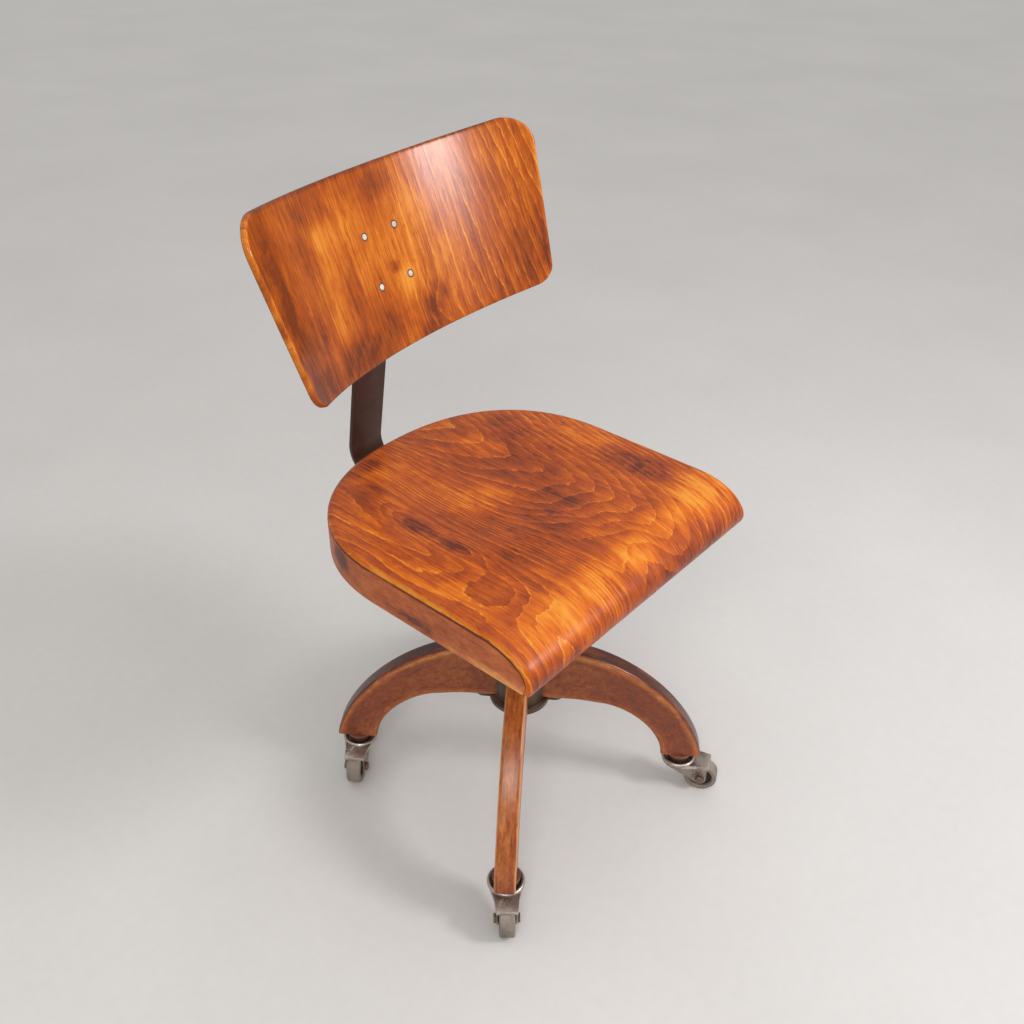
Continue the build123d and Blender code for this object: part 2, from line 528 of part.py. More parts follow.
PARTS["upper_leg_plate"] = leg_plate(LEG_TOP_Z) - upper_holes
PARTS["lower_leg_screws"] = Compound([s.solid() for s in lower_screws])
PARTS["upper_leg_screws"] = Compound([s.solid() for s in upper_screws])

# Legs: one arched blank, butted against the drum, repeated round the spindle
tip_inner = LEG_END - LEG_TIP_WIDTH
top_rise = LEG_TOP_Z - LEG_TIP_Z
low_rise = LEG_LOW_Z - LEG_LOW_SAG - LEG_TIP_Z
toe_power = 3
arch_points = arch(LEG_REACH - LEG_TOP_FLAT, top_rise, LEG_ARCH_POWER)
top_points = [(x + LEG_TOE_FLARE * (1 - z / top_rise) ** toe_power, z) for x, z in arch_points]
toe_slope = toe_power * LEG_TOE_FLARE / top_rise
low_points = arch(tip_inner - LEG_LOW_SHOULDER, low_rise, LEG_ARCH_POWER)
top_curve = Spline(
    [(LEG_TOP_FLAT + x, LEG_TIP_Z + z) for x, z in top_points],
    tangents=[(1, 0), (toe_slope, -1)],
)
low_curve = Spline(
    [(LEG_LOW_FLAT, LEG_LOW_Z)] + [(LEG_LOW_SHOULDER + x, LEG_TIP_Z + z) for x, z in low_points],
    tangents=[(1, 0), (0, -1)],
)
leg_start = DRUM_RADIUS / 2
leg_side = make_face([
    Line((leg_start, LEG_TOP_Z), (LEG_TOP_FLAT, LEG_TOP_Z)),
    top_curve,
    Line((LEG_END, LEG_TIP_Z), (tip_inner, LEG_TIP_Z)),
    low_curve,
    Line((LEG_LOW_FLAT, LEG_LOW_Z), (leg_start, LEG_LOW_Z)),
    Line((leg_start, LEG_LOW_Z), (leg_start, LEG_TOP_Z)),
])
leg_blank = extrude(Plane.XZ * leg_side, amount=LEG_THICKNESS / 2, both=True)
curved_edges = leg_blank.edges().filter_by(GeomType.BSPLINE)
leg_blank = fillet(curved_edges, LEG_EDGE_ROUND)
leg_blank -= cylinder(DRUM_RADIUS + FIXED_FIT, LEG_LOW_Z - OVERCUT, LEG_TOP_Z + OVERCUT)
socket_hole = cylinder(SOCKET_RADIUS + FIXED_FIT, LEG_TIP_Z, LEG_TIP_Z + SOCKET_LENGTH + FIXED_FIT)
leg_blank -= Pos(CASTER_RADIUS, 0, 0) * socket_hole
for number, angle in enumerate(LEG_ANGLES, 1):
    PARTS[f"leg_{number}"] = Rot(0, 0, angle) * leg_blank - lower_holes - upper_holes

# One caster, drawn with its stem on the Z axis and its wheel trailing along +X
stem_hole = cylinder(STEM_RADIUS + RUNNING_FIT, 0, LEG_TIP_Z + SOCKET_LENGTH)
socket = cylinder(SOCKET_RADIUS, LEG_TIP_Z, LEG_TIP_Z + SOCKET_LENGTH)
socket += cylinder(SOCKET_FLANGE_RADIUS, LEG_TIP_Z - SOCKET_FLANGE_THICKNESS, LEG_TIP_Z)
socket += cylinder(RACE_RADIUS, RACE_BOTTOM_Z, LEG_TIP_Z)
socket -= stem_hole
hood_plan = make_hull([
    *CenterArc((0, 0), CUP_FOOT_RADIUS, 0, 360).edges(),
    *Line((HOOD_END, -FORK_OUTER), (HOOD_END, FORK_OUTER)).edges(),
])
fork = Pos(0, 0, HOOD_EDGE_Z) * extrude(hood_plan, amount=FORK_HOOD_EDGE)
crown_low_z = HOOD_EDGE_Z - FORK_CROWN_HEIGHT
fork += box(
    (-FORK_CROWN_HALF_LENGTH, -FORK_OUTER, crown_low_z),
    (FORK_CROWN_HALF_LENGTH, FORK_OUTER, HOOD_EDGE_Z),
)
cheek_side = make_hull([
    *CenterArc((CASTER_TRAIL, WHEEL_RADIUS), FORK_BOSS_RADIUS, 0, 360).edges(),
    *Line((-FORK_CROWN_HALF_LENGTH, HOOD_EDGE_Z), (HOOD_END - FORK_CHEEK_INSET, HOOD_EDGE_Z)).edges(),
    *Line((-FORK_CROWN_HALF_LENGTH, crown_low_z), (-FORK_CROWN_HALF_LENGTH, HOOD_EDGE_Z)).edges(),
])
for side in (-1, 1):
    cheek_y = side * (FORK_GAP / 2 + FORK_CHEEK / 2)
    fork += Pos(0, cheek_y, 0) * extrude(Plane.XZ * cheek_side, amount=FORK_CHEEK / 2, both=True)
cup_side = make_face(Polyline(
    (0, CUP_BOTTOM_Z),
    (CUP_FOOT_RADIUS, CUP_BOTTOM_Z),
    (CUP_RADIUS, CUP_RIM_Z),
    (0, CUP_RIM_Z),
    close=True,
))
cup_room = make_face(Polyline(
    (0, CUP_FLOOR_Z),
    (CUP_FOOT_RADIUS - CUP_WALL, CUP_FLOOR_Z),
    (CUP_RADIUS - CUP_WALL, CUP_RIM_Z),
    (CUP_RADIUS - CUP_WALL, CUP_RIM_Z + OVERCUT),
    (0, CUP_RIM_Z + OVERCUT),
    close=True,
))
fork += revolve(Plane.XZ * cup_side, Axis.Z)
fork -= revolve(Plane.XZ * cup_room, Axis.Z)
fork += cylinder(STEM_RADIUS, CUP_FLOOR_Z, LEG_TIP_Z + SOCKET_LENGTH - PIN_END)
AXLE = Pos(CASTER_TRAIL, 0, WHEEL_RADIUS) * Rot(90, 0, 0)
wheel_room = WHEEL_RADIUS + SIDE_PLAY
fork -= AXLE * Cylinder(wheel_room, FORK_GAP)
fork -= AXLE * Cylinder(AXLE_RADIUS + FIXED_FIT, 4 * FORK_OUTER)
ball_ring = (STEM_RADIUS + RACE_RADIUS) / 2
ball_z = CUP_FLOOR_Z + BALL_RADIUS + FIXED_FIT
balls = [
    (Rot(0, 0, 360 / BALL_COUNT * i) * Pos(ball_ring, 0, ball_z) * Sphere(BALL_RADIUS)).solid()
    for i in range(BALL_COUNT)
]
core_radius = WHEEL_RADIUS - TYRE_THICKNESS
tyre = Cylinder(WHEEL_RADIUS, WHEEL_WIDTH)
tyre = fillet(tyre.edges().filter_by(GeomType.CIRCLE), TYRE_EDGE_ROUND)
tyre -= Cylinder(core_radius + FIXED_FIT, WHEEL_WIDTH)
core = Cylinder(core_radius, WHEEL_WEB) + Cylinder(WHEEL_HUB_RADIUS, FORK_GAP - 2 * SIDE_PLAY)
core -= Cylinder(AXLE_RADIUS + RUNNING_FIT, FORK_GAP)
axle_head = Pos(0, 0, FORK_OUTER) * extrude(RegularPolygon(AXLE_NUT_RADIUS, 6), AXLE_NUT_HEIGHT)
axle_end = FORK_OUTER + AXLE_NUT_HEIGHT
axle = cylinder(AXLE_RADIUS, -axle_end, FORK_OUTER) + axle_head
axle_nut = Pos(0, 0, -axle_end) * extrude(RegularPolygon(AXLE_NUT_RADIUS, 6), AXLE_NUT_HEIGHT)
axle_nut -= cylinder(AXLE_RADIUS + FIXED_FIT, -axle_end, -FORK_OUTER)
for number, (leg_angle, trail_angle) in enumerate(zip(LEG_ANGLES, CASTER_ANGLES), 1):
    stem = Rot(0, 0, leg_angle) * Pos(CASTER_RADIUS, 0, 0) * Rot(0, 0, trail_angle - leg_angle)
    name = f"caster_{number}_"
    PARTS[name + "socket"] = stem * socket
    PARTS[name + "fork"] = stem * fork
    PARTS[name + "balls"] = Compound([stem * ball for ball in balls])
    PARTS[name + "tyre"] = stem * AXLE * tyre
    PARTS[name + "wheel_core"] = stem * AXLE * core
    PARTS[name + "axle"] = stem * AXLE * axle
    PARTS[name + "axle_nut"] = stem * AXLE * axle_nut

os.makedirs("parts", exist_ok=True)
for name, solid in PARTS.items():
    export_step(solid, f"parts/{name}.step")
print(len(PARTS), "nodes; pivot at y", round(PIVOT_Y, 2), "spindle from", round(SPINDLE_BOTTOM_Z, 2))
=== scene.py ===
# %% [markdown]
# # A wooden office chair
# The chair is a moulded plywood seat and back on a wooden base with casters. The solids of
# the construction come in as a fixed frame: they are never moved. Each lesson cell below
# makes one piece or one finish, in metres, in that same frame.

# %% Load the frame
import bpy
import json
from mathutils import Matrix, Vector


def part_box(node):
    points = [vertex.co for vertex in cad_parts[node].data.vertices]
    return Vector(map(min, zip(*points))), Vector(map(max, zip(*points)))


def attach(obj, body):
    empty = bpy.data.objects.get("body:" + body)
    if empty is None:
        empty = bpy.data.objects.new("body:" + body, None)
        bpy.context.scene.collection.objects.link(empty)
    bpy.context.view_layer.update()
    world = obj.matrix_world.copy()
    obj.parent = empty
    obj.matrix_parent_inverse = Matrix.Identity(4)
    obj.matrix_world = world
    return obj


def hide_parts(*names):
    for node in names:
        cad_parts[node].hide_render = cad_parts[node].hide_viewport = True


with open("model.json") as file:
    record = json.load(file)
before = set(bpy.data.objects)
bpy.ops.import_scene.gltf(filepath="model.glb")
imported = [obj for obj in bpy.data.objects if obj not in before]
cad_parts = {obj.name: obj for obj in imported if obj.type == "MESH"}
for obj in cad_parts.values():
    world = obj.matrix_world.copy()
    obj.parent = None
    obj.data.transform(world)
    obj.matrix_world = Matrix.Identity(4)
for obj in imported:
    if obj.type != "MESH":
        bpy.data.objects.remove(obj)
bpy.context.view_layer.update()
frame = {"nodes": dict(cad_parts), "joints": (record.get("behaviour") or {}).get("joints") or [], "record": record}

# %% [markdown]
# ## Tools of the bench
# A few small helpers keep every later cell short. `blend_step` eases from 0 to 1, and
# `fit_piece` sets a new piece on its body and hides the plain solid that it stands for.

# %% Bench tools
import json
from math import acos, asin, atan2, cos, exp, hypot, pi, radians, sin, sqrt, tanh

import bmesh
import bpy
import numpy as np
from mathutils import Matrix, Vector
from mathutils.geometry import delaunay_2d_cdt


def blend_step(low, high, value):
    """Eases from 0 at low to 1 at high."""
    t = min(max((value - low) / (high - low), 0.0), 1.0)
    return t * t * (3 - 2 * t)


def fit_piece(piece, body, slot, *nodes):
    """Sets a piece on its body and hides the solids it stands for; its slot is not used."""
    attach(piece, body)
    if nodes:
        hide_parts(*nodes)
    return piece


body_of = {
    name: body
    for body, names in frame["record"]["behaviour"]["bodies"].items()
    for name in names
}
slot_of = {part["node"]: part["material_slot"] for part in frame["record"]["subparts"]}
joint_at = {joint["name"]: Vector(joint["pos_m"]) for joint in frame["joints"] if "pos_m" in joint}
print("joints with a place:", len(joint_at))

# %% [markdown]
# ## From points to a mesh
# Nearly every piece here is a grid of points: rows along the piece, columns around it. The
# grid is closed into quads, and each corner also gets a place in the "grain" map, in metres,
# so that wood figure follows the bent wood instead of cutting straight through it. Point
# values, the marks, tell the finishes where an edge is rubbed, how deep a ply lies, where the
# stain took and where shade is painted, where wood is rubbed pale and where a highlight is
# painted, and how the growth rings run under each place.

# %% Mesh builders
MARKS = ("edge", "depth", "stain", "pale", "lines", "level", "slope")
SHARP_TURN = radians(42)


def note(marks, **values):
    """Adds one point's values to the lists of marks; a mark that isn't named is zero."""
    for name in MARKS:
        marks.setdefault(name, []).append(values.get(name, 0.0))


def new_piece(name, points, faces, material, corner_uv=None, marks=None):
    """A mesh object from points and faces, with its grain map and its point values."""
    mesh = bpy.data.meshes.new(name)
    mesh.from_pydata([tuple(p) for p in points], [], [tuple(f) for f in faces])
    if corner_uv is not None:
        layer = mesh.uv_layers.new(name="grain")
        flat = [value for face in corner_uv for uv in face for value in uv]
        layer.data.foreach_set("uv", flat)
    for label, values in (marks or {}).items():
        mesh.attributes.new(label, "FLOAT", "POINT").data.foreach_set("value", list(values))
    shape = bmesh.new()
    shape.from_mesh(mesh)
    bmesh.ops.recalc_face_normals(shape, faces=shape.faces)
    shape.to_mesh(mesh)
    shape.free()
    mesh.polygons.foreach_set("use_smooth", [True] * len(mesh.polygons))
    mesh.set_sharp_from_angle(angle=SHARP_TURN)
    mesh.materials.append(material)
    piece = bpy.data.objects.new(name, mesh)
    bpy.context.scene.collection.objects.link(piece)
    return piece


def grid_faces(rows, columns, uv, ring_columns=True, ring_rows=False):
    """Quads of a grid and their grain places; uv(i, j) may run past the last column."""
    faces = []
    corner_uv = []
    for i in range(rows if ring_rows else rows - 1):
        for j in range(columns if ring_columns else columns - 1):
            quad = [(i, j), (i, j + 1), (i + 1, j + 1), (i + 1, j)]
            faces.append([(a % rows) * columns + b % columns for a, b in quad])
            corner_uv.append([uv(a, b) for a, b in quad])
    return faces, corner_uv


print("point values:", ", ".join(MARKS))

# %% [markdown]
# ## The camera
# The photograph looks down at the chair from its front left corner. The lens and the place
# were worked out from where seat, board, legs and casters appear in it, so the picture lines
# up with the solids. The angles could be set by eye, but then every piece would be a little off.
# A camera looks along its own -Z, so the columns of its turn are right, up and back.

# %% Camera
CAMERA_AZIMUTH = radians(-49.91)
CAMERA_ELEVATION = radians(34.46)
CAMERA_ROLL = radians(1.01)
CAMERA_PLACE = Vector((-0.8029, -0.6566, 1.1643))
LENS_MM = 36.45
SENSOR_MM = 36.0

scene = bpy.context.scene
back = Vector((
    sin(CAMERA_AZIMUTH) * cos(CAMERA_ELEVATION),
    -cos(CAMERA_AZIMUTH) * cos(CAMERA_ELEVATION),
    sin(CAMERA_ELEVATION),
))
right = Vector((cos(CAMERA_AZIMUTH), sin(CAMERA_AZIMUTH), 0))
up = back.cross(right)
rolled_right = cos(CAMERA_ROLL) * right + sin(CAMERA_ROLL) * up
rolled_up = cos(CAMERA_ROLL) * up - sin(CAMERA_ROLL) * right
camera = bpy.data.objects.new("camera", bpy.data.cameras.new("camera"))
scene.collection.objects.link(camera)
camera.data.sensor_width = SENSOR_MM
camera.data.lens = LENS_MM
camera_turn = Matrix((rolled_right, rolled_up, back)).transposed().to_4x4()
camera.matrix_world = Matrix.Translation(CAMERA_PLACE) @ camera_turn
scene.camera = camera
print("camera at", [round(v, 3) for v in CAMERA_PLACE])

# %% [markdown]
# ## Node shorthand
# A finish is a small web of nodes. `node` adds one and fills its inputs: a plain number or
# colour is set on the socket, and another node's output is linked to it. The other helpers
# are the few operations that every finish below repeats.

# %% Node helpers
def new_finish(name):
    """A material with its node tree and its main shader."""
    material = bpy.data.materials.new(name)
    material.use_nodes = True
    tree = material.node_tree
    return material, tree, tree.nodes["Principled BSDF"]


def fill(tree, socket, value):
    """Sets a socket to a constant, or links another node's output to it."""
    if isinstance(value, bpy.types.NodeSocket):
        tree.links.new(value, socket)
    else:
        socket.default_value = value


def node(tree, kind, inputs=None, out=0, **settings):
    """Adds a node and returns one of its outputs."""
    made = tree.nodes.new(kind)
    for key, value in settings.items():
        setattr(made, key, value)
    for key, value in (inputs or {}).items():
        fill(tree, made.inputs[key], value)
    return made.outputs[out]


def calc(tree, operation, *values):
    """One step of arithmetic."""
    return node(tree, "ShaderNodeMath", dict(enumerate(values)), operation=operation)


def ease(tree, value, low, high, start=0.0, end=1.0):
    """Maps a value smoothly from low..high to start..end."""
    inputs = {"Value": value, "From Min": low, "From Max": high, "To Min": start, "To Max": end}
    return node(tree, "ShaderNodeMapRange", inputs, interpolation_type="SMOOTHSTEP")


def mix(tree, amount, first, second, way="MIX"):
    """Mixes two colours."""
    made = tree.nodes.new("ShaderNodeMix")
    made.data_type = "RGBA"
    made.blend_type = way
    for socket, value in zip((made.inputs[0], made.inputs[6], made.inputs[7]), (amount, first, second)):
        fill(tree, socket, value)
    return made.outputs[2]


def ramp(tree, value, *stops):
    """A colour ramp from (position, colour) pairs."""
    made = tree.nodes.new("ShaderNodeValToRGB")
    fill(tree, made.inputs[0], value)
    elements = made.color_ramp.elements
    while len(elements) < len(stops):
        elements.new(1.0)
    for element, (position, colour) in zip(elements, stops):
        element.position = position
        element.color = (*colour, 1.0)
    return made.outputs[0]


def mark(tree, name):
    """A point value of the mesh, such as how close an edge is."""
    return node(tree, "ShaderNodeAttribute", out=2, attribute_name=name)


def noise(tree, place, scale, detail=2.0, roughness=0.5, distortion=0.0):
    """Cloudy noise; scale is one number or one for each direction, in lumps per metre."""
    if not isinstance(scale, (int, float)):
        place = node(tree, "ShaderNodeVectorMath", {0: place, 1: scale}, operation="MULTIPLY")
        scale = 1.0
    inputs = {"Vector": place, "Scale": scale, "Detail": detail, "Roughness": roughness}
    inputs["Distortion"] = distortion
    return node(tree, "ShaderNodeTexNoise", inputs)


def weigh(tree, start, *terms):
    """Adds terms to a starting number, each a value times its weight."""
    result = start
    for value, weight in terms:
        result = calc(tree, "MULTIPLY_ADD", value, weight, result)
    return result


def bump(tree, height, strength, distance):
    """Turns a height into a tilt of the surface."""
    inputs = {"Height": height, "Strength": strength, "Distance": distance}
    return node(tree, "ShaderNodeBump", inputs)


print("node helpers ready")

# %% [markdown]
# ## Growth rings
# The veneers are beech: thin pale lines where the knife cut across the growth rings, short fine
# flecks, and a red-brown stain that took unevenly. A picture of wood could be wrapped round the
# pieces, but then every edge would show it cut off. Here the mesh says how high the hill of
# growth rings stands at each point ("level"); each whole number is one ring, so its lines close
# up and open out as on real veneer. The "slope" is the number of rings in a metre. Dividing by
# it keeps each line as thin where rings lie far apart as where they crowd.

# %% Growth rings
HILL_LUMPS = (11.0, 3.4, 1.0)
WOBBLE_LUMPS = (150.0, 48.0, 1.0)
WOBBLE_RINGS = 0.55
FADE_LUMPS = (50.0, 14.0, 1.0)
FADE_RANGE = (0.4, 0.62)
LINE_FALL = 0.0017
LINE_RISE = 0.0006


def ring_lines(tree, place, bands):
    """The shade between two growth rings, dark before the next, and the thin pale line at each."""
    hill = noise(tree, place, HILL_LUMPS, 1.5, 0.45, 0.2)
    wobble = noise(tree, place, WOBBLE_LUMPS, 4.0, 0.68)
    level = weigh(tree, mark(tree, "level"), (hill, bands), (wobble, WOBBLE_RINGS))
    band = calc(tree, "FRACT", level)
    slope = mark(tree, "slope")
    after = calc(tree, "DIVIDE", band, slope)
    before = calc(tree, "DIVIDE", calc(tree, "SUBTRACT", 1.0, band), slope)
    fall = ease(tree, after, 0.0, LINE_FALL, 1.0, 0.0)
    rise = ease(tree, before, 0.0, LINE_RISE, 1.0, 0.0)
    fading = ease(tree, noise(tree, place, FADE_LUMPS, 3.0, 0.65), *FADE_RANGE)
    shown = mark(tree, "lines")
    line = calc(tree, "MULTIPLY", calc(tree, "MAXIMUM", fall, rise), fading)
    shade = calc(tree, "MULTIPLY", calc(tree, "SUBTRACT", band, 0.5), shown)
    return shade, calc(tree, "MULTIPLY", line, shown)


print("a ring's line fades over", LINE_FALL * 1000, "mm")

# %% [markdown]
# ## Stained and lacquered wood
# Rings, flecks, stain, wear and, on some pieces, painted shade and painted highlights all push one
# value, the depth of the stain, and one colour ramp turns that into orange, red-brown or nearly
# black. Mixing a colour for each effect could do it too, but the tones would then drift away from
# what one stain on one wood can give. Scales are in lumps per metre, across and along the grain.

# %% Wood finish
FIBRE_ALONG = 13.0
STREAK_LUMPS = (85.0, 3.0, 1.0)
CLOUD_LUMPS = (8.0, 6.0, 1.0)
PALE_PATCH_LUMPS = (60.0, 10.0, 1.0)
PALE_PATCH_RANGE = (0.32, 0.66, 0.35, 1.2)
SMUDGE_LUMPS = (34.0, 14.0, 1.0)
SMUDGE_RANGE = (0.4, 0.66)
FLECK_LUMPS = (330.0, 50.0, 1.0)
FLECK_RANGE = (0.56, 0.74)
STAIN_LEAST = 0.14
SMUDGE_WEIGHT = 0.36
CLOUD_WEIGHT = 0.44
FLECK_WEIGHT = 0.16
SHADE_WEIGHT = 0.18
LINE_WEIGHT = -0.25
PALE_AND_HIGHLIGHT_WEIGHT = -0.38
EDGE_WEIGHT = -0.42
PLY_WEIGHT = 0.5
PLY_FACE = (0.0008, 0.0014)
PLY_DARK = (0.6, 0.8)
TONE_STOPS = (0.1, 0.34, 0.55, 0.88)
PORE_STRENGTH = 0.2
PORE_DEPTH = 0.0003
LACQUER_WEIGHT = 0.08
LACQUER_ROUGHNESS = 0.2


def grain_wood(name, tones, bands, seed, gloss, mottle, fibres, start, sheen, fine, patchy, ply=0.0):
    """Wood with growth rings, flecks, uneven stain, worn edges and the painted shade and highlights of its marks,
    read along the grain map.
    """
    material, tree, shader = new_finish(name)
    flat = node(tree, "ShaderNodeUVMap", uv_map="grain")
    shift = {0: flat, 1: (seed, seed * 0.7, seed * 1.3)}
    place = node(tree, "ShaderNodeVectorMath", shift, operation="ADD")
    shade, line = ring_lines(tree, place, bands)
    fibre = noise(tree, place, (fine, FIBRE_ALONG, 1.0), 4.0, 0.7)
    streak = noise(tree, place, STREAK_LUMPS, 3.0, 0.6)
    cloud = noise(tree, place, CLOUD_LUMPS, 4.0, 0.6, 0.5)
    patch = noise(tree, place, (*patchy, 1.0), 5.0, 0.7, 0.4)
    pale_patches = ease(tree, noise(tree, place, PALE_PATCH_LUMPS, 4.0, 0.65), *PALE_PATCH_RANGE)
    smudge = ease(tree, noise(tree, place, SMUDGE_LUMPS, 4.0, 0.66, 0.8), *SMUDGE_RANGE)
    fleck = ease(tree, noise(tree, place, FLECK_LUMPS, 2.0, 0.5), *FLECK_RANGE)
    smudged = weigh(tree, STAIN_LEAST, (smudge, SMUDGE_WEIGHT))
    # The stain value also carries painted shade, and the pale value painted highlights, where a piece's marks set
    # them.
    stain = calc(tree, "MULTIPLY", mark(tree, "stain"), smudged)
    rubbed_and_highlit = calc(tree, "MULTIPLY", mark(tree, "pale"), pale_patches)
    streaks = fibres / 2
    middle_sum = (CLOUD_WEIGHT + streaks + fibres + mottle) / 2
    depth = weigh(
        tree, start - middle_sum, (cloud, CLOUD_WEIGHT), (streak, streaks), (fibre, fibres),
        (patch, mottle), (fleck, FLECK_WEIGHT), (stain, 1.0), (shade, SHADE_WEIGHT),
        (line, LINE_WEIGHT), (rubbed_and_highlit, PALE_AND_HIGHLIGHT_WEIGHT), (mark(tree, "edge"), EDGE_WEIGHT),
    )
    if ply:
        layer = calc(tree, "FRACT", calc(tree, "MULTIPLY", mark(tree, "depth"), 1.0 / ply))
        below = ease(tree, mark(tree, "depth"), *PLY_FACE)
        dark_ply = calc(tree, "MULTIPLY", ease(tree, layer, *PLY_DARK), below)
        depth = weigh(tree, depth, (dark_ply, PLY_WEIGHT))
    colour = ramp(tree, depth, *zip(TONE_STOPS, reversed(tones)))
    fill(tree, shader.inputs["Base Color"], colour)
    fill(tree, shader.inputs["Roughness"], weigh(tree, gloss, (fibre, 0.14), (cloud, 0.1)))
    relief = weigh(tree, 0.0, (fibre, 0.3), (fleck, -0.5), (line, 0.15))
    fill(tree, shader.inputs["Normal"], bump(tree, relief, PORE_STRENGTH, PORE_DEPTH))
    shader.inputs["Specular IOR Level"].default_value = sheen
    shader.inputs["Coat Weight"].default_value = LACQUER_WEIGHT
    shader.inputs["Coat Roughness"].default_value = LACQUER_ROUGHNESS
    print("wood finish:", name)
    return material


print("lacquer weight", LACQUER_WEIGHT, "on every wood")

# %% [markdown]
# ## The four woods
# Each wood gets four tones, from its darkest stain to rubbed pale wood. The seat has bold
# flame-like rings, the board fine straight fibres and visible plies at its edge, and rim and legs
# are solid beech with a mottled, worn stain. One finish for all would be shorter, but on the real
# chair the pieces differ, because they were stained and handled differently.

# %% Four woods
seat_wood = grain_wood(
    "seat_flame_plywood",
    ((0.115, 0.026, 0.014), (0.37, 0.068, 0.014), (0.59, 0.134, 0.011), (0.7, 0.265, 0.032)),
    bands=5.6, seed=3.7, gloss=0.22, mottle=0.42, fibres=0.62, start=0.53, sheen=0.15,
    fine=430.0, patchy=(75.0, 48.0),
)
rim_wood = grain_wood(
    "rim_worn_beech",
    ((0.13, 0.034, 0.018), (0.42, 0.098, 0.027), (0.56, 0.16, 0.042), (0.74, 0.32, 0.09)),
    bands=2.0, seed=11.3, gloss=0.34, mottle=0.75, fibres=0.3, start=0.53, sheen=0.22,
    fine=400.0, patchy=(85.0, 50.0),
)
back_wood = grain_wood(
    "back_straight_plywood",
    ((0.15, 0.03, 0.007), (0.38, 0.074, 0.006), (0.57, 0.148, 0.01), (0.72, 0.275, 0.032)),
    bands=2.6, seed=8.1, gloss=0.11, mottle=0.42, fibres=0.9, start=0.54, sheen=0.24,
    fine=620.0, patchy=(90.0, 40.0), ply=0.001415,
)
leg_wood = grain_wood(
    "leg_bent_beech",
    ((0.075, 0.016, 0.008), (0.23, 0.047, 0.011), (0.38, 0.105, 0.02), (0.6, 0.25, 0.075)),
    bands=2.0, seed=5.9, gloss=0.2, mottle=0.7, fibres=0.12, start=0.56, sheen=0.42,
    fine=400.0, patchy=(190.0, 110.0),
)

# %% [markdown]
# ## Worn metal and bare wood
# Metals vary in roughness more than in colour: handled places shine, and patches stay dull and brown.
# Edges could be painted by hand, but the mesh's own pointiness already tells where they are, and
# that is where paint or plating has gone. Hidden cross pieces are plain planed wood.

# %% Worn metal and bare wood
EDGE_POINTS = (0.545, 0.6)
BROAD_LUMPS = 38.0
DIRT_RANGE = (0.34, 0.52)
DENT_DEPTH = 0.0006


def object_place(tree):
    """The place in the object's own space, in metres."""
    return node(tree, "ShaderNodeTexCoord", out=3)


def worn_metal(name, base, worn, grime, metallic, rough, wear=0.6, grain=900.0, dents=0.25):
    """Metal or paint on metal, rubbed bright on its edges and dull in patches."""
    material, tree, shader = new_finish(name)
    place = object_place(tree)
    fine = noise(tree, place, grain, 3.0, 0.6)
    broad = noise(tree, place, BROAD_LUMPS, 4.0, 0.6)
    point = node(tree, "ShaderNodeNewGeometry", out="Pointiness")
    edge = calc(tree, "MULTIPLY_ADD", broad, 0.06, point)
    edge = calc(tree, "MULTIPLY", ease(tree, edge, *EDGE_POINTS), wear)
    spread = calc(tree, "MULTIPLY_ADD", broad, 0.5, calc(tree, "MULTIPLY", fine, 0.3))
    dirt = ease(tree, spread, *DIRT_RANGE)
    colour = mix(tree, dirt, (*base, 1.0), (*grime, 1.0))
    colour = mix(tree, edge, colour, (*worn, 1.0))
    fill(tree, shader.inputs["Base Color"], colour)
    shader.inputs["Metallic"].default_value = metallic
    dull = calc(tree, "MULTIPLY_ADD", dirt, 0.22, rough)
    fill(tree, shader.inputs["Roughness"], calc(tree, "MULTIPLY_ADD", fine, 0.14, dull))
    relief = calc(tree, "MULTIPLY_ADD", broad, 0.6, calc(tree, "MULTIPLY", fine, 0.4))
    fill(tree, shader.inputs["Normal"], bump(tree, relief, dents, DENT_DEPTH))
    print("metal finish:", name)
    return material


def bare_wood(name, light, dark):
    """Planed wood without lacquer, its grain along X."""
    material, tree, shader = new_finish(name)
    place = object_place(tree)
    streak = noise(tree, place, (6.0, 120.0, 120.0), 4.0, 0.6)
    fibre = noise(tree, place, (60.0, 900.0, 900.0), 3.0, 0.6)
    tone = calc(tree, "MULTIPLY_ADD", fibre, 0.35, calc(tree, "MULTIPLY", streak, 0.65))
    fill(tree, shader.inputs["Base Color"], ramp(tree, tone, (0.3, light), (0.7, dark)))
    fill(tree, shader.inputs["Roughness"], calc(tree, "MULTIPLY_ADD", fibre, 0.2, 0.6))
    fill(tree, shader.inputs["Normal"], bump(tree, fibre, 0.3, 0.0005))
    print("wood finish:", name)
    return material


print("edges show bright from a pointiness of", EDGE_POINTS[0])

# %% [markdown]
# ## The chair's metals
# The strap is enamelled brown, the hub is dark iron, and the casters still have some of their old
# plating. The first colour is the clean metal, the second its rubbed edges and the third its
# grime; then come how metallic and how rough it is. The tread is a grey pressed tyre, no metal,
# but it wears in the same way, so the same finish serves.

# %% Metals
strap_paint = worn_metal(
    "strap_brown_enamel", (0.05, 0.013, 0.006), (0.15, 0.07, 0.045), (0.03, 0.009, 0.005), 0.0, 0.42
)
hub_iron = worn_metal(
    "hub_dark_iron", (0.09, 0.05, 0.032), (0.3, 0.22, 0.16), (0.04, 0.022, 0.014), 0.6, 0.36
)
caster_plate = worn_metal(
    "caster_worn_plating", (0.37, 0.31, 0.265), (0.66, 0.6, 0.54), (0.1, 0.06, 0.042), 0.9, 0.24,
    wear=0.8, grain=420.0, dents=1.0,
)
cup_bright = worn_metal(
    "cup_rim_bright", (0.45, 0.395, 0.355), (0.68, 0.63, 0.59), (0.17, 0.115, 0.09), 0.95, 0.2
)
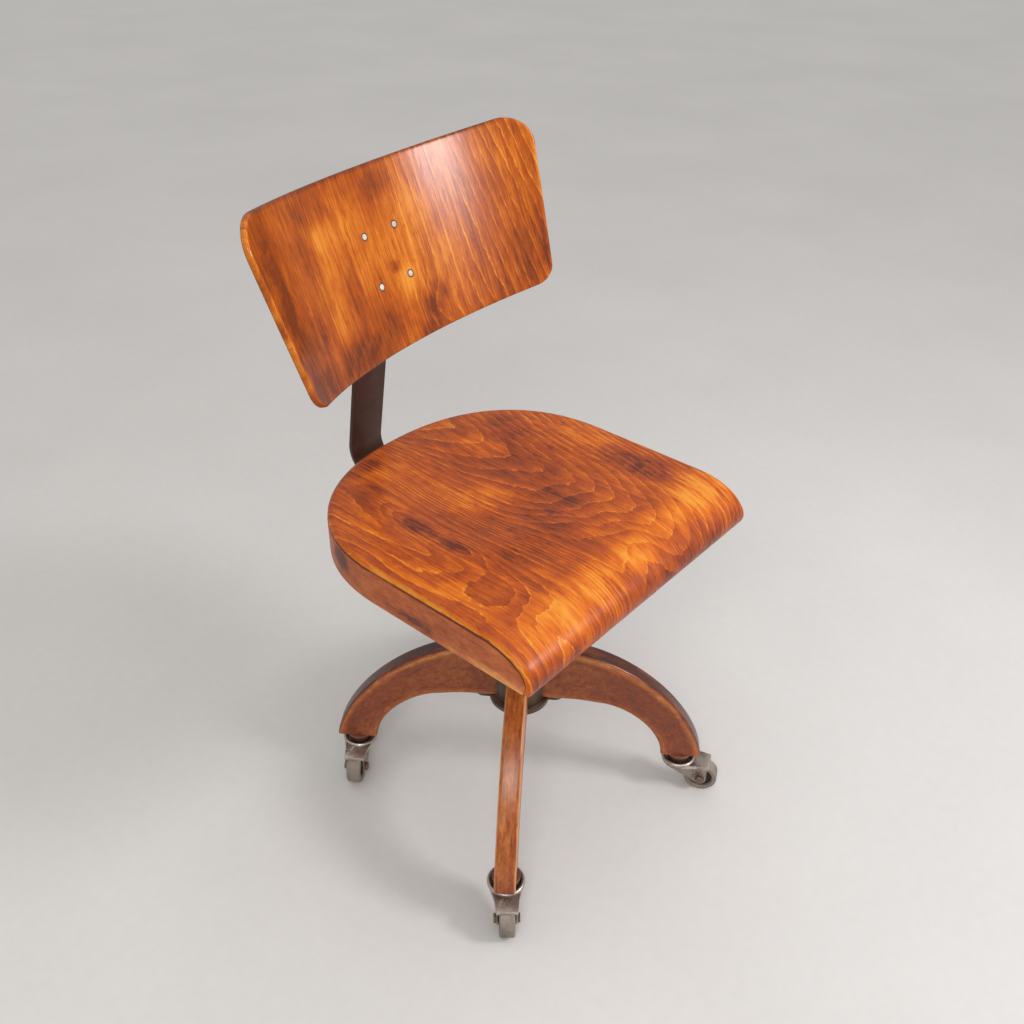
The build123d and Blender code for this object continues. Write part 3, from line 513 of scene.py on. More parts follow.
# The socket inside the cup is dark red-brown.
socket_inside_dark = worn_metal(
    "socket_dark_red_brown", (0.15, 0.055, 0.035), (0.3, 0.18, 0.13), (0.07, 0.026, 0.016), 0.3, 0.34
)
bright_steel = worn_metal(
    "turned_steel", (0.42, 0.4, 0.37), (0.6, 0.58, 0.55), (0.22, 0.19, 0.16), 0.95, 0.28
)
fastener_steel = worn_metal(
    "fastener_steel", (0.33, 0.3, 0.27), (0.52, 0.49, 0.45), (0.16, 0.12, 0.09), 0.9, 0.36
)
rivet_metal = worn_metal(
    "rivet_soft_metal", (0.7, 0.63, 0.54), (0.8, 0.75, 0.68), (0.5, 0.41, 0.32), 0.0, 0.42
)
brass = worn_metal(
    "bush_dull_brass", (0.46, 0.33, 0.15), (0.62, 0.5, 0.28), (0.2, 0.13, 0.06), 0.9, 0.38
)
tread = worn_metal(
    "wheel_grey_tread", (0.26, 0.215, 0.175), (0.36, 0.31, 0.26), (0.14, 0.105, 0.08), 0.0, 0.5,
    dents=0.6,
)
wheel_iron = worn_metal(
    "wheel_dark_disc", (0.085, 0.06, 0.048), (0.24, 0.2, 0.16), (0.04, 0.026, 0.02), 0.5, 0.45,
    dents=0.6,
)
planed_wood = bare_wood("planed_cross_pieces", (0.46, 0.3, 0.17), (0.3, 0.17, 0.085))

# %% [markdown]
# ## The seat's skin
# The shell is one sheet: level, then rolled over the front in a quarter ellipse and tucked
# back a little. If the sheet is unrolled, the seat becomes a flat outline of x and of s, the
# distance along the skin from where the nose begins. The outline can be drawn flat and then
# laid back over the skin, so the grain runs unbroken over the nose. A shallow dish is pressed
# into the level part.

# %% Seat skin
shell_low, shell_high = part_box("seat_shell")
rim_low, rim_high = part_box("seat_rim")
SEAT_HALF = rim_high.x
SEAT_BACK_Y = rim_high.y
SEAT_FRONT_Y = shell_low.y
SEAT_TOP_Z = shell_high.z
RIM_BOTTOM_Z = rim_low.z
SEAT_CORNER_Y = 0.039
SEAT_BACK_POWER = 2.26
NOSE_LENGTH = 0.069
NOSE_DROP = 0.040
NOSE_TUCK = 0.005
SHELL_THICKNESS = 0.007
DISH_DEPTH = 0.007
DISH_HALF_WIDTH = 0.172
DISH_HALF_LENGTH = 0.137
DISH_CENTRE_Y = 0.055
DISH_POWER = 2.4
DISH_FLAT = 0.35
NOSE_STEPS = 120

nose_y = SEAT_FRONT_Y + NOSE_LENGTH
nose_z = SEAT_TOP_Z - NOSE_DROP
tuck_drop = nose_z - RIM_BOTTOM_Z
tuck_radius = (NOSE_TUCK ** 2 + tuck_drop ** 2) / (2 * NOSE_TUCK)


def skin_line(steps):
    """Rows of s, y, z and the outward direction, from the nose's start to the lower lip."""
    rows = []
    for i in range(steps + 1):
        a = pi / 2 * i / steps
        out = Vector((-sin(a) / NOSE_LENGTH, cos(a) / NOSE_DROP)).normalized()
        rows.append((nose_y - NOSE_LENGTH * sin(a), nose_z + NOSE_DROP * cos(a), out.x, out.y))
    for i in range(1, steps // 4 + 1):
        a = asin(tuck_drop / tuck_radius) * i / (steps // 4)
        y = SEAT_FRONT_Y + tuck_radius * (1 - cos(a))
        rows.append((y, nose_z - tuck_radius * sin(a), -cos(a), -sin(a)))
    run = 0.0
    table = [(0.0, *rows[0])]
    for before, after in zip(rows, rows[1:]):
        run += hypot(after[0] - before[0], after[1] - before[1])
        table.append((run, *after))
    return np.array(table)


SKIN = skin_line(NOSE_STEPS)
LIP_S = SKIN[-1, 0]


def dish(x, y):
    """How deep the pressed hollow is at a place of the seat."""
    across = abs(x / DISH_HALF_WIDTH) ** DISH_POWER
    along = abs((y - DISH_CENTRE_Y) / DISH_HALF_LENGTH) ** DISH_POWER
    return DISH_DEPTH * (1 - blend_step(DISH_FLAT, 1.0, (across + along) ** (1 / DISH_POWER)))


def seat_place(x, s, depth):
    """The point at x and s of the unrolled sheet, at a depth under its upper face."""
    if s <= 0:
        y = nose_y - s
        return Vector((x, y, SEAT_TOP_Z - depth - dish(x, y)))
    y, z, out_y, out_z = (np.interp(s, SKIN[:, 0], SKIN[:, k]) for k in range(1, 5))
    return Vector((x, y - depth * out_y, z - depth * out_z))


print("unrolled nose:", round(LIP_S * 1000, 1), "mm")

# %% [markdown]
# ## Closed lines
# Seat and backrest are both plywood sheets cut to an outline. Three helpers work on such a closed
# line: one spaces its points evenly, one finds the direction into the sheet, and one tells which
# points lie inside.

# %% Closed lines
SHEET_MARGIN = 0.003


def resampled(points, step):
    """Points at even steps round a closed line."""
    loop = np.array(points + points[:1])
    run = np.concatenate([[0], np.cumsum(np.hypot(*np.diff(loop, axis=0).T))])
    count = int(run[-1] / step)
    at = np.arange(count) * run[-1] / count
    return np.column_stack([np.interp(at, run, loop[:, 0]), np.interp(at, run, loop[:, 1])])


def inward(loop):
    """Unit directions that point into a closed line, one for each point."""
    along = np.roll(loop, -1, axis=0) - np.roll(loop, 1, axis=0)
    across = np.column_stack([-along[:, 1], along[:, 0]])
    across /= np.hypot(*across.T)[:, None]
    area = np.sum(loop[:, 0] * np.roll(loop[:, 1], -1) - np.roll(loop[:, 0], -1) * loop[:, 1])
    return across if area > 0 else -across


def inside(points, loop):
    """Which points lie inside a closed line by more than the sheet's margin."""
    x, y = points[:, 0], points[:, 1]
    hit = np.zeros(len(points), bool)
    near = np.full(len(points), np.inf)
    for (x0, y0), (x1, y1) in zip(loop, np.roll(loop, -1, axis=0)):
        if y0 != y1:
            hit ^= ((y0 > y) != (y1 > y)) & (x < (x1 - x0) * (y - y0) / (y1 - y0) + x0)
        near = np.minimum(near, np.hypot(x - x0, y - y0))
    return hit & (near > SHEET_MARGIN)


print("closed lines ready")

# %% [markdown]
# ## Sheets with rounded edges
# One builder serves both sheets. It draws rings inside the outline for the rounded edge, then
# fills the two faces with a fine net of triangles (a Delaunay fill, which keeps them well shaped).
# A Solidify modifier could thicken a flat face instead, but it can't change the rounding along
# the edge. `place` lays each flat point in space.

# %% Sheet builder
WEAR_REACH = 0.0055
NET_REACH = 1e-7
FILL_INSIDE = 1


def net(loop, lattice):
    """Triangles that fill a closed line, with lattice points inside it."""
    extra = lattice[inside(lattice, loop)]
    flat = np.concatenate([loop, extra])
    border = [list(range(len(loop)))]
    filled = delaunay_2d_cdt([Vector(p) for p in flat], [], border, FILL_INSIDE, NET_REACH)
    source = [origin[0] for origin in filled[3]]
    return flat, [[source[k] for k in face] for face in filled[2]]


def sheet(name, outline, edge_rings, lattice, place, material, tint):
    """A plywood sheet: edge_rings[k] is a list of (inset, depth), from the face to the back."""
    turn_in = inward(outline)
    count = len(outline)
    points = []
    marks = {}
    flat = []

    def add(u, v, depth, inset):
        """One point of the sheet with its marks."""
        points.append(place(u, v, depth))
        flat.append((u, v))
        values = tint(u, v)
        wear = values.pop("wear") * (1 - blend_step(0.0, WEAR_REACH, inset))
        note(marks, edge=wear, depth=depth, **values)

    ring_count = len(edge_rings[0])
    loops = []
    for r in range(ring_count):
        insets = np.array([edge_rings[k][r][0] for k in range(count)])
        loop = outline + turn_in * insets[:, None]
        loops.append(loop)
        for k in range(count):
            add(*loop[k], edge_rings[k][r][1], insets[k])
    faces = []
    for r in range(ring_count - 1):
        for k in range(count):
            n = (k + 1) % count
            faces.append([r * count + k, r * count + n, (r + 1) * count + n, (r + 1) * count + k])
    for ring in (0, ring_count - 1):
        net_points, triangles = net(loops[ring], lattice)
        first = len(points) - count
        edge_inset = edge_rings[0][ring][0]
        for u, v in net_points[count:]:
            near = float(np.min(np.hypot(outline[:, 0] - u, outline[:, 1] - v)))
            add(u, v, edge_rings[0][ring][1], max(near, edge_inset))
        for triangle in triangles:
            faces.append([ring * count + k if k < count else first + k for k in triangle])
    corner_uv = [[flat[k] for k in face] for face in faces]
    piece = new_piece(name, points, faces, material, corner_uv, marks)
    print(name, len(points), "points", len(faces), "faces")
    return piece


print("sheet builder ready")

# %% [markdown]
# ## Edges, spots and rings
# Each sheet needs a rounded edge, a few soft spots where its stain took more or was rubbed away,
# and the run of its growth rings. The spots are kept on the sheet's own flat plan, so they stay
# where they belong however the sheet is bent.

# %% Edges, spots and rings
SPOT_CORE, SPOT_END = 0.2, 1.3
SLOPE_STEP = 0.001
LEAST_SLOPE = 45.0


def round_over(radius, start, stop, steps):
    """(inset, depth) pairs of a rounded edge, between two angles from the face's own plane."""
    angles = [start + (stop - start) * i / steps for i in range(steps + 1)]
    return [(radius * (1 - sin(a)), radius * (1 - cos(a))) for a in angles]


def spots(places, u, v):
    """The strongest of a few soft oval spots at a place; each is (u, v, half u, half v, weight)."""
    best = 0.0
    for centre_u, centre_v, half_u, half_v, weight in places:
        reach = hypot((u - centre_u) / half_u, (v - centre_v) / half_v)
        best = max(best, weight * (1 - blend_step(SPOT_CORE, SPOT_END, reach)))
    return best


def ring_marks(level, u, v):
    """The level of the growth rings at a place, and how many rings a metre crosses there."""
    across = level(u + SLOPE_STEP, v) - level(u - SLOPE_STEP, v)
    along = level(u, v + SLOPE_STEP) - level(u, v - SLOPE_STEP)
    slope = hypot(across, along) / (2 * SLOPE_STEP)
    return {"level": level(u, v), "slope": max(slope, LEAST_SLOPE)}


print("line widths allow for rings up to", round(1000 / LEAST_SLOPE, 1), "mm apart")

# %% [markdown]
# ## The figure of the seat
# The stain took darker in the middle and at the back; the nose is rubbed to orange, with a painted
# highlight along its upper curve. The knife that peeled this veneer left close straight rings left
# of the middle, long eyes beside them and broad arrow-like flames on the right, so `seat_level` is a
# steep bank between a plateau with hollows and a long ridge. Noise alone could draw rings, but not
# these figures in these places.
# Each spot is its centre, its two half sizes and its weight.

# %% Seat figure
SEAT_STAINS = (
    (-0.121, 0.063, 0.013, 0.035, 0.9), (-0.118, -0.008, 0.015, 0.036, 1.0),
    (-0.092, -0.053, 0.017, 0.03, 0.9), (0.047, -0.025, 0.026, 0.05, 0.85),
    (0.0, -0.037, 0.03, 0.055, 0.75), (0.163, -0.024, 0.03, 0.035, 0.9),
    (0.164, -0.067, 0.03, 0.035, 0.9), (0.124, 0.129, 0.036, 0.05, 0.75),
    (-0.109, 0.158, 0.03, 0.02, 0.6), (-0.075, 0.199, 0.05, 0.015, 0.6),
    (-0.05, -0.03, 0.1, 0.09, 0.3), (0.08, 0.04, 0.1, 0.1, 0.3),
)
SEAT_PALES = (
    (-0.023, 0.053, 0.05, 0.03, 0.5), (-0.084, 0.169, 0.05, 0.03, 0.4),
    (0.065, 0.127, 0.03, 0.035, 0.45), (0.179, 0.045, 0.026, 0.06, 0.5),
    (-0.19, -0.06, 0.022, 0.08, 0.45), (-0.165, 0.105, 0.022, 0.05, 0.35),
)
# Rubbed places on the nose, together with a painted highlight along its upper curve.
NOSE_RUBS_AND_HIGHLIGHT = (
    (0.165, 0.024, 0.06, 0.038, 1.3), (0.08, 0.03, 0.06, 0.03, 0.85), (0.0, 0.036, 0.06, 0.027, 0.8),
    (-0.06, 0.038, 0.05, 0.029, 0.9), (-0.14, 0.042, 0.055, 0.034, 0.95),
)
SEAT_EYES = (
    (-0.121, 0.063, 0.015, 0.05), (-0.118, -0.008, 0.017, 0.042), (-0.15, -0.09, 0.03, 0.05),
)
BANK_RINGS, BANK_X, BANK_WIDTH = 7.0, -0.052, 0.03
FLAME_RINGS, FLAME_CURVE, FLAME_X = 25.0, 500.0, 0.06
FLAME_LEFT = -0.03
FLAME_START = (-0.06, 0.02)
SIDE_RINGS, SIDE_X = 80.0, -0.15
EYE_RINGS = 3.0
LOW_NOSE = (0.06, 0.09)
LOW_NOSE_STAIN = 0.5
FRONT_PART = (0.02, 0.13)
BACK_WEAR, FRONT_WEAR = 0.2, 0.6


def seat_level(x, s):
    """How high the hill of growth rings stands at a place of the unrolled seat, in rings."""
    y = nose_y - s
    bank = BANK_RINGS * tanh((x - BANK_X) / BANK_WIDTH)
    arrow = FLAME_RINGS * y - FLAME_CURVE * (max(x, FLAME_LEFT) - FLAME_X) ** 2
    side = SIDE_RINGS * min(x - SIDE_X, 0.0)
    hollows = 0.0
    for eye_x, eye_y, half_x, half_y in SEAT_EYES:
        hollows += EYE_RINGS * exp(-((x - eye_x) / half_x) ** 2 - ((y - eye_y) / half_y) ** 2)
    return bank + blend_step(*FLAME_START, x) * arrow + side - hollows


def seat_tint(x, s):
    """What the finish needs to know at a place: stain, rubbed places and the nose's painted highlight, edge wear
    and rings.
    """
    y = nose_y - s
    low_nose = LOW_NOSE_STAIN * blend_step(*LOW_NOSE, s)
    return {
        "stain": max(spots(SEAT_STAINS, x, y), low_nose),
        "pale": max(spots(SEAT_PALES, x, y), spots(NOSE_RUBS_AND_HIGHLIGHT, x, s)),
        "wear": BACK_WEAR + FRONT_WEAR * (1 - blend_step(*FRONT_PART, y)),
        "lines": 1.0,
        **ring_marks(seat_level, x, s),
    }


print(len(SEAT_STAINS), "stains and", len(SEAT_PALES) + len(NOSE_RUBS_AND_HIGHLIGHT), "rubbed places on the seat")

# %% [markdown]
# ## The seat shell
# Sides run straight back from the nose, then close in a full superellipse. The upper edge has
# a generous round-over where hands and legs have rubbed it, and the lower lip is only eased. The
# same edge all round would be simpler, but the lip would then run out to a thin edge.

# %% Seat shell
EDGE_ROUND = 0.0095
LIP_ROUND = 0.003
LIP_BLEND = 0.03
SEAM = 0.0004
LIP_FLAT = 0.004
UNDER_INSET = 0.004
EDGE_STEPS = 8
OUTLINE_STEP = 0.004
LATTICE_STEP = 0.006
NOSE_LATTICE_STEP = 0.003
NOSE_LEAD = 0.01
CORNER_CUT = 0.003
BACK_STEPS = 180


def seat_outline(step):
    """The unrolled outline, from the lower lip round the back."""
    depth = SEAT_BACK_Y - SEAT_CORNER_Y
    line = []
    for i in range(BACK_STEPS + 1):
        a = pi * i / BACK_STEPS
        x = SEAT_HALF * abs(cos(a)) ** (2 / SEAT_BACK_POWER) * (1 if cos(a) >= 0 else -1)
        y = SEAT_CORNER_Y + depth * sin(a) ** (2 / SEAT_BACK_POWER)
        line.append((x, nose_y - y))
    lip = LIP_S - CORNER_CUT
    line += [(-SEAT_HALF, lip), (-SEAT_HALF + CORNER_CUT, LIP_S)]
    line += [(SEAT_HALF - CORNER_CUT, LIP_S), (SEAT_HALF, lip)]
    return resampled(line, step)


def seat_edge(s):
    """Rings of the shell's edge at one place of the outline."""
    radius = LIP_ROUND + (EDGE_ROUND - LIP_ROUND) * blend_step(0, LIP_BLEND, LIP_S - s - LIP_FLAT)
    last = min(acos(max(1 - (SHELL_THICKNESS - SEAM) / radius, -0.2)), pi / 2)
    edge = round_over(radius, 0.0, last, EDGE_STEPS)
    return edge + [
        (edge[-1][0], SHELL_THICKNESS - SEAM),
        (edge[-1][0] + 2 * SEAM, SHELL_THICKNESS),
        (UNDER_INSET, SHELL_THICKNESS),
    ]


seat_loop = seat_outline(OUTLINE_STEP)
across_lines = np.arange(-SEAT_HALF, SEAT_HALF, LATTICE_STEP)
level_lines = np.arange(nose_y - SEAT_BACK_Y, -NOSE_LEAD, LATTICE_STEP)
nose_lines = np.arange(-NOSE_LEAD, LIP_S, NOSE_LATTICE_STEP)
along_lines = np.concatenate([level_lines, nose_lines])
seat_lattice = np.array([(x, s) for s in along_lines for x in across_lines])
seat_shell = sheet(
    "seat_shell_skin", seat_loop, [seat_edge(s) for _, s in seat_loop], seat_lattice, seat_place,
    seat_wood, seat_tint,
)
fit_piece(seat_shell, "seat", "seat_plywood", "seat_shell")

# %% [markdown]
# ## The seat rim
# A bent strip of beech follows the shell's edge and carries it. Its section is swept along the
# side of the seat: a small seam under the shell, an upright outer face, and eased lower edges.
# At the front the strip is cut to the underside of the nose, so its height runs out there. A
# curve with a bevel profile could sweep it too, but could not change its height on the way.

# %% Rim path and section
RIM_THICKNESS = 0.022
RIM_EASE = 0.003
INNER_LENGTH = NOSE_LENGTH - SHELL_THICKNESS
INNER_DROP = NOSE_DROP - SHELL_THICKNESS
RIM_GAP = 0.0003
SEAM_DIRT = 0.0035
RIM_NOSE_STEPS = 25
RIM_SIDE_STEPS = 32
RIM_BACK_STEPS = 60


def rim_path():
    """Plan points with inward directions and the rim's top height, from one front end to the other."""
    depth = SEAT_BACK_Y - SEAT_CORNER_Y
    half = []
    for i in range(RIM_NOSE_STEPS + 1):
        a = pi / 2 * (1 - i / RIM_NOSE_STEPS)
        y = nose_y - (INNER_LENGTH - RIM_GAP) * sin(a)
        half.append((SEAT_HALF, y, -1.0, 0.0, nose_z + INNER_DROP * cos(a) - RIM_GAP))
    for i in range(1, RIM_SIDE_STEPS + 1):
        y = nose_y + (SEAT_CORNER_Y - nose_y) * i / RIM_SIDE_STEPS
        half.append((SEAT_HALF, y, -1.0, 0.0, nose_z + INNER_DROP - RIM_GAP))
    for i in range(1, RIM_BACK_STEPS + 1):
        a = pi / 2 * i / RIM_BACK_STEPS
        x = SEAT_HALF * max(cos(a), 0) ** (2 / SEAT_BACK_POWER)
        y = depth * sin(a) ** (2 / SEAT_BACK_POWER)
        slope = Vector((
            -(x / SEAT_HALF) ** (SEAT_BACK_POWER - 1) / SEAT_HALF,
            -(y / depth) ** (SEAT_BACK_POWER - 1) / depth,
        )).normalized()
        half.append((x, SEAT_CORNER_Y + y, slope.x, slope.y, nose_z + INNER_DROP - RIM_GAP))
    return half + [(-x, y, -nx, ny, top) for x, y, nx, ny, top in half[-2::-1]]


def rim_section(top):
    """(inset, height) pairs round the strip's section."""
    low = RIM_BOTTOM_Z
    ease_by = min(RIM_EASE, (top - low) / 3)
    outer = [(3 * SEAM, top), (SEAM, top - 2 * SEAM), (0.0, top - SEAM_DIRT)]
    for part in (0.25, 0.5, 0.75):
        outer.append((0.0, top - 2 * SEAM + (low + ease_by - top + 2 * SEAM) * part))
    turns = np.linspace(0, pi / 2, 6)
    corner = [(ease_by * (1 - cos(a)), low + ease_by * (1 - sin(a))) for a in turns]
    under = [(RIM_THICKNESS / 2, low), (RIM_THICKNESS - ease_by, low)]
    inner = [(RIM_THICKNESS, low + ease_by), (RIM_THICKNESS, top - SEAM), (RIM_THICKNESS / 2, top)]
    return outer + corner + under + inner


print("rim section:", len(rim_section(SEAT_TOP_Z)), "points")

# %% [markdown]
# ## The rim as one strip
# The section is set at each place of the path and the rows are closed into quads. Its values tell
# the finish where dirt sits under the shell, where hands have rubbed the lower front, and where
# the stain is darker on the left side.

# %% Seat rim
RIM_RINGS = 70.0
RIM_LINES = 0.1
RIM_STAINS = (
    (0.105, 0.03, 0.022, 0.014, 2.2), (-0.02, 0.012, 0.05, 0.008, 1.0), (0.16, 0.034, 0.02, 0.012, 1.2),
)
SEAM_STAIN = 2.0
LOW_EDGE = (0.0, 0.006)
LOW_EDGE_WEAR = 0.8
LOW_STRIP = (0.003, 0.02)
RUBBED_FRONT = (-0.15, 0.0)
RUBBED_LEAST = 0.1
INNER_FACE_SHIFT = 0.2


def make_rim():
    """Sweeps the section along the path and closes both front ends."""
    path = rim_path()
    sections = [rim_section(row[4]) for row in path]
    columns = len(sections[0])
    points = []
    marks = {}
    runs = [0.0]
    for before, after in zip(path, path[1:]):
        runs.append(runs[-1] + hypot(after[0] - before[0], after[1] - before[1]))
    for row, section in zip(path, sections):
        x, y, in_x, in_y, top = row
        for inset, z in section:
            below = max(nose_z - z, 0.0)
            tuck = tuck_radius - sqrt(max(tuck_radius ** 2 - below ** 2, 0.0))
            front = nose_y - INNER_LENGTH + RIM_GAP + tuck
            points.append((x + in_x * inset, max(y + in_y * inset, front), z))
            low_edge = 1 - blend_step(*LOW_EDGE, z - RIM_BOTTOM_Z)
            low_strip = 1 - blend_step(*LOW_STRIP, z - RIM_BOTTOM_Z)
            front_part = 1 - blend_step(*RUBBED_FRONT, y)
            spot = spots(RIM_STAINS, y, z - RIM_BOTTOM_Z) if x < 0 else 0.0
            seam_dirt = 1 - blend_step(2 * SEAM, SEAM_DIRT, top - z)
            note(
                marks, edge=LOW_EDGE_WEAR * low_edge * front_part, lines=RIM_LINES,
                stain=max(spot, SEAM_STAIN * seam_dirt),
                pale=(RUBBED_LEAST + (1 - RUBBED_LEAST) * low_strip) * front_part,
                level=RIM_RINGS * z, slope=RIM_RINGS,
            )

    def unwound(i, j):
        """The grain map: up the section, and along the strip."""
        return sections[i][j % columns][1] + (j // columns) * INNER_FACE_SHIFT, runs[i]

    faces, corner_uv = grid_faces(len(path), columns, unwound)
    for row in (0, len(path) - 1):
        faces.append([row * columns + j for j in range(columns)])
        corner_uv.append([(sections[row][j][0], sections[row][j][1]) for j in range(columns)])
    print("rim rows", len(path), "length", round(runs[-1], 3), "m")
    return new_piece("seat_rim_strip", points, faces, rim_wood, corner_uv, marks)


fit_piece(make_rim(), "seat", "rim_wood", "seat_rim")

# %% [markdown]
# ## The backrest board
# The board is bent round an upright axis in front of it, then leaned back, and on this chair it
# sits a little out of level. It is drawn as a trapezium with rounded corners, as seen from the
# front, and rolled to the radius by `board_place`. A bend modifier could roll it as well, but then
# the rivets could not be set on it by the same sum. Its grain runs up and down.

# %% Board shape
BOARD_CENTRE = Vector((0.0, 0.2167, 0.7172))
BOARD_LEAN = radians(20.7)
BOARD_YAW = radians(3.5)
BOARD_ROLL = radians(2.0)
BOARD_RADIUS = 0.411
BOARD_THICKNESS = 0.0075
BOARD_HEIGHT = 0.2103
BOARD_TOP_HALF = 0.239
BOARD_BOTTOM_HALF = 0.214
BOARD_TOP_CROWN = 0.003
BOARD_TOP_CORNER = 0.037
BOARD_BOTTOM_CORNER = 0.024
CORNER_STEPS = 24
board_turn = (
    Matrix.Rotation(BOARD_YAW, 4, "Z")
    @ Matrix.Rotation(-BOARD_LEAN, 4, "X")
    @ Matrix.Rotation(-BOARD_ROLL, 4, "Y")
)
board_frame = Matrix.Translation(BOARD_CENTRE) @ board_turn
half_height = BOARD_HEIGHT / 2


def board_place(along, height, depth):
    """A point of the unrolled board, bent to its radius and set in place."""
    angle = along / BOARD_RADIUS
    reach = BOARD_RADIUS + depth
    return board_frame @ Vector((reach * sin(angle), reach * cos(angle) - BOARD_RADIUS, height))


def rounded(corners):
    """A closed line through (x, y, radius) corners, each turned in an arc."""
    line = []
    count = len(corners)
    for k in range(count):
        x, y, radius = corners[k]
        here = Vector((x, y))
        before = (Vector(corners[k - 1][:2]) - here).normalized()
        after = (Vector(corners[(k + 1) % count][:2]) - here).normalized()
        half = acos(before.dot(after)) / 2
        setback = radius * cos(half) / sin(half)
        centre = here + (before + after).normalized() * radius / sin(half)
        start = here + before * setback
        end = here + after * setback
        first = atan2(start.y - centre.y, start.x - centre.x)
        sweep = atan2(end.y - centre.y, end.x - centre.x) - first
        sweep = (sweep + pi) % (2 * pi) - pi
        for i in range(CORNER_STEPS + 1):
            angle = first + sweep * i / CORNER_STEPS
            line.append((centre.x + radius * cos(angle), centre.y + radius * sin(angle)))
    return line


def crowned(x, h):
    """Lifts the top edge into a shallow arc."""
    lift = BOARD_TOP_CROWN * (1 - (x / BOARD_TOP_HALF) ** 2)
    return h + lift * blend_step(0.0, half_height, h)


print("board leans", round(BOARD_LEAN * 180 / pi, 1), "degrees")

# %% [markdown]
# ## The figure of the board
# The veneer of the board was sliced, not peeled, so its rings are straight and close, with one
# knot low in the middle that pushes them aside. The left half is stained so deep that its lines
# hardly show. The left edge is rubbed down to the plies, and the top edge is dark.

# %% Board figure
BOARD_RINGS = 78.0
BOARD_STAINS = (
    (-0.22, 0.0, 0.06, 0.12, 1.0), (-0.2, -0.09, 0.06, 0.035, 0.9),
    (0.2, -0.06, 0.08, 0.05, 0.5), (0.165, -0.09, 0.06, 0.03, 0.6),
    (0.045, -0.078, 0.016, 0.02, 1.4), (0.035, -0.1, 0.02, 0.012, 1.4),
    (0.062, -0.06, 0.012, 0.014, 1.0), (0.006, -0.012, 0.008, 0.009, 1.2),
    (-0.1, 0.085, 0.05, 0.025, 0.6), (-0.1, -0.085, 0.09, 0.03, 0.8),
    (-0.03, -0.07, 0.03, 0.03, 0.6), (0.02, 0.085, 0.03, 0.02, 0.5),
    (-0.135, 0.035, 0.02, 0.035, 0.5), (-0.078, -0.02, 0.018, 0.035, 0.5),
    (-0.03, 0.075, 0.02, 0.02, 0.4), (-0.16, -0.04, 0.03, 0.03, 0.6),
)
BOARD_PALES = (
    (-0.06, 0.06, 0.045, 0.045, 0.65), (-0.1, 0.0, 0.04, 0.06, 0.4),
    (0.02, -0.03, 0.03, 0.03, 0.85), (0.085, -0.04, 0.025, 0.06, 0.7),
    (0.05, 0.04, 0.04, 0.05, 0.5), (0.0, 0.01, 0.04, 0.04, 0.5),
    (0.19, 0.07, 0.05, 0.03, 0.35), (0.25, 0.03, 0.012, 0.06, 0.5),
    (-0.1, 0.05, 0.022, 0.025, 0.7), (0.045, 0.0, 0.02, 0.045, 0.6),
    (-0.045, -0.005, 0.018, 0.03, 0.5), (-0.12, -0.045, 0.02, 0.03, 0.5),
)
BOARD_KNOT = (0.045, -0.08, 0.03, 0.035)
KNOT_RINGS = 1.6
FAN_RINGS = 14.0
SIDE_EDGE = (0.2, 0.235)
TOP_EDGE = (0.06, 0.1)
LEFT_WEAR, RIGHT_WEAR, TOP_DARK = 1.0, 0.5, 0.7
LINES_RIGHT = (-0.02, 0.07)
LINES_LEAST = 0.06


def board_level(a, h):
    """Straight close rings, pushed aside a little by the knot at the lower middle."""
    knot_a, knot_h, half_a, half_h = BOARD_KNOT
    knot = KNOT_RINGS * exp(-((a - knot_a) / half_a) ** 2 - ((h - knot_h) / half_h) ** 2)
    return BOARD_RINGS * a + FAN_RINGS * h * a / BOARD_TOP_HALF + knot


def board_tint(a, h):
    """Stain, rubbed places, edge wear and rings; the lines show on the right half."""
    side = blend_step(*SIDE_EDGE, abs(a))
    top = blend_step(*TOP_EDGE, h)
    return {
        "stain": spots(BOARD_STAINS, a, h),
        "pale": spots(BOARD_PALES, a, h),
        "wear": side * (LEFT_WEAR if a < 0 else RIGHT_WEAR) - TOP_DARK * (1 - side) * top,
        "lines": LINES_LEAST + (1 - LINES_LEAST) * blend_step(*LINES_RIGHT, a),
        **ring_marks(board_level, a, h),
    }


print(len(BOARD_STAINS), "stains and", len(BOARD_PALES), "rubbed places on the board")

# %% [markdown]
# ## The board as a sheet
# The trapezium is measured straight across, so its outline is first laid along the bend. Then the
# same builder as for the seat makes the sheet, here with one edge all round.

# %% Backrest board
BOARD_EDGE_ROUND = 0.0026
BOARD_EDGE_STEPS = 5
BOARD_OUTLINE_STEP = 0.003
BOARD_INSET = 0.006
LATTICE_REACH = 0.27
flat_board = rounded([
    (-BOARD_BOTTOM_HALF, -half_height, BOARD_BOTTOM_CORNER),
    (BOARD_BOTTOM_HALF, -half_height, BOARD_BOTTOM_CORNER),
    (BOARD_TOP_HALF, half_height, BOARD_TOP_CORNER),
    (-BOARD_TOP_HALF, half_height, BOARD_TOP_CORNER),
])
bent_board = [(BOARD_RADIUS * asin(x / BOARD_RADIUS), h) for x, h in flat_board]
even_board = resampled(bent_board, BOARD_OUTLINE_STEP)
board_loop = np.array([(a, crowned(BOARD_RADIUS * sin(a / BOARD_RADIUS), h)) for a, h in even_board])
edge_steps = round_over(BOARD_EDGE_ROUND, 0.0, pi / 2, BOARD_EDGE_STEPS)
board_edge = [(BOARD_INSET, 0.0)] + edge_steps
board_edge += [(inset, BOARD_THICKNESS - depth) for inset, depth in reversed(board_edge)]
lattice_rows = np.arange(-half_height, half_height, LATTICE_STEP)
lattice_columns = np.arange(-LATTICE_REACH, LATTICE_REACH, LATTICE_STEP)
board_lattice = np.array([(a, h) for h in lattice_rows for a in lattice_columns])
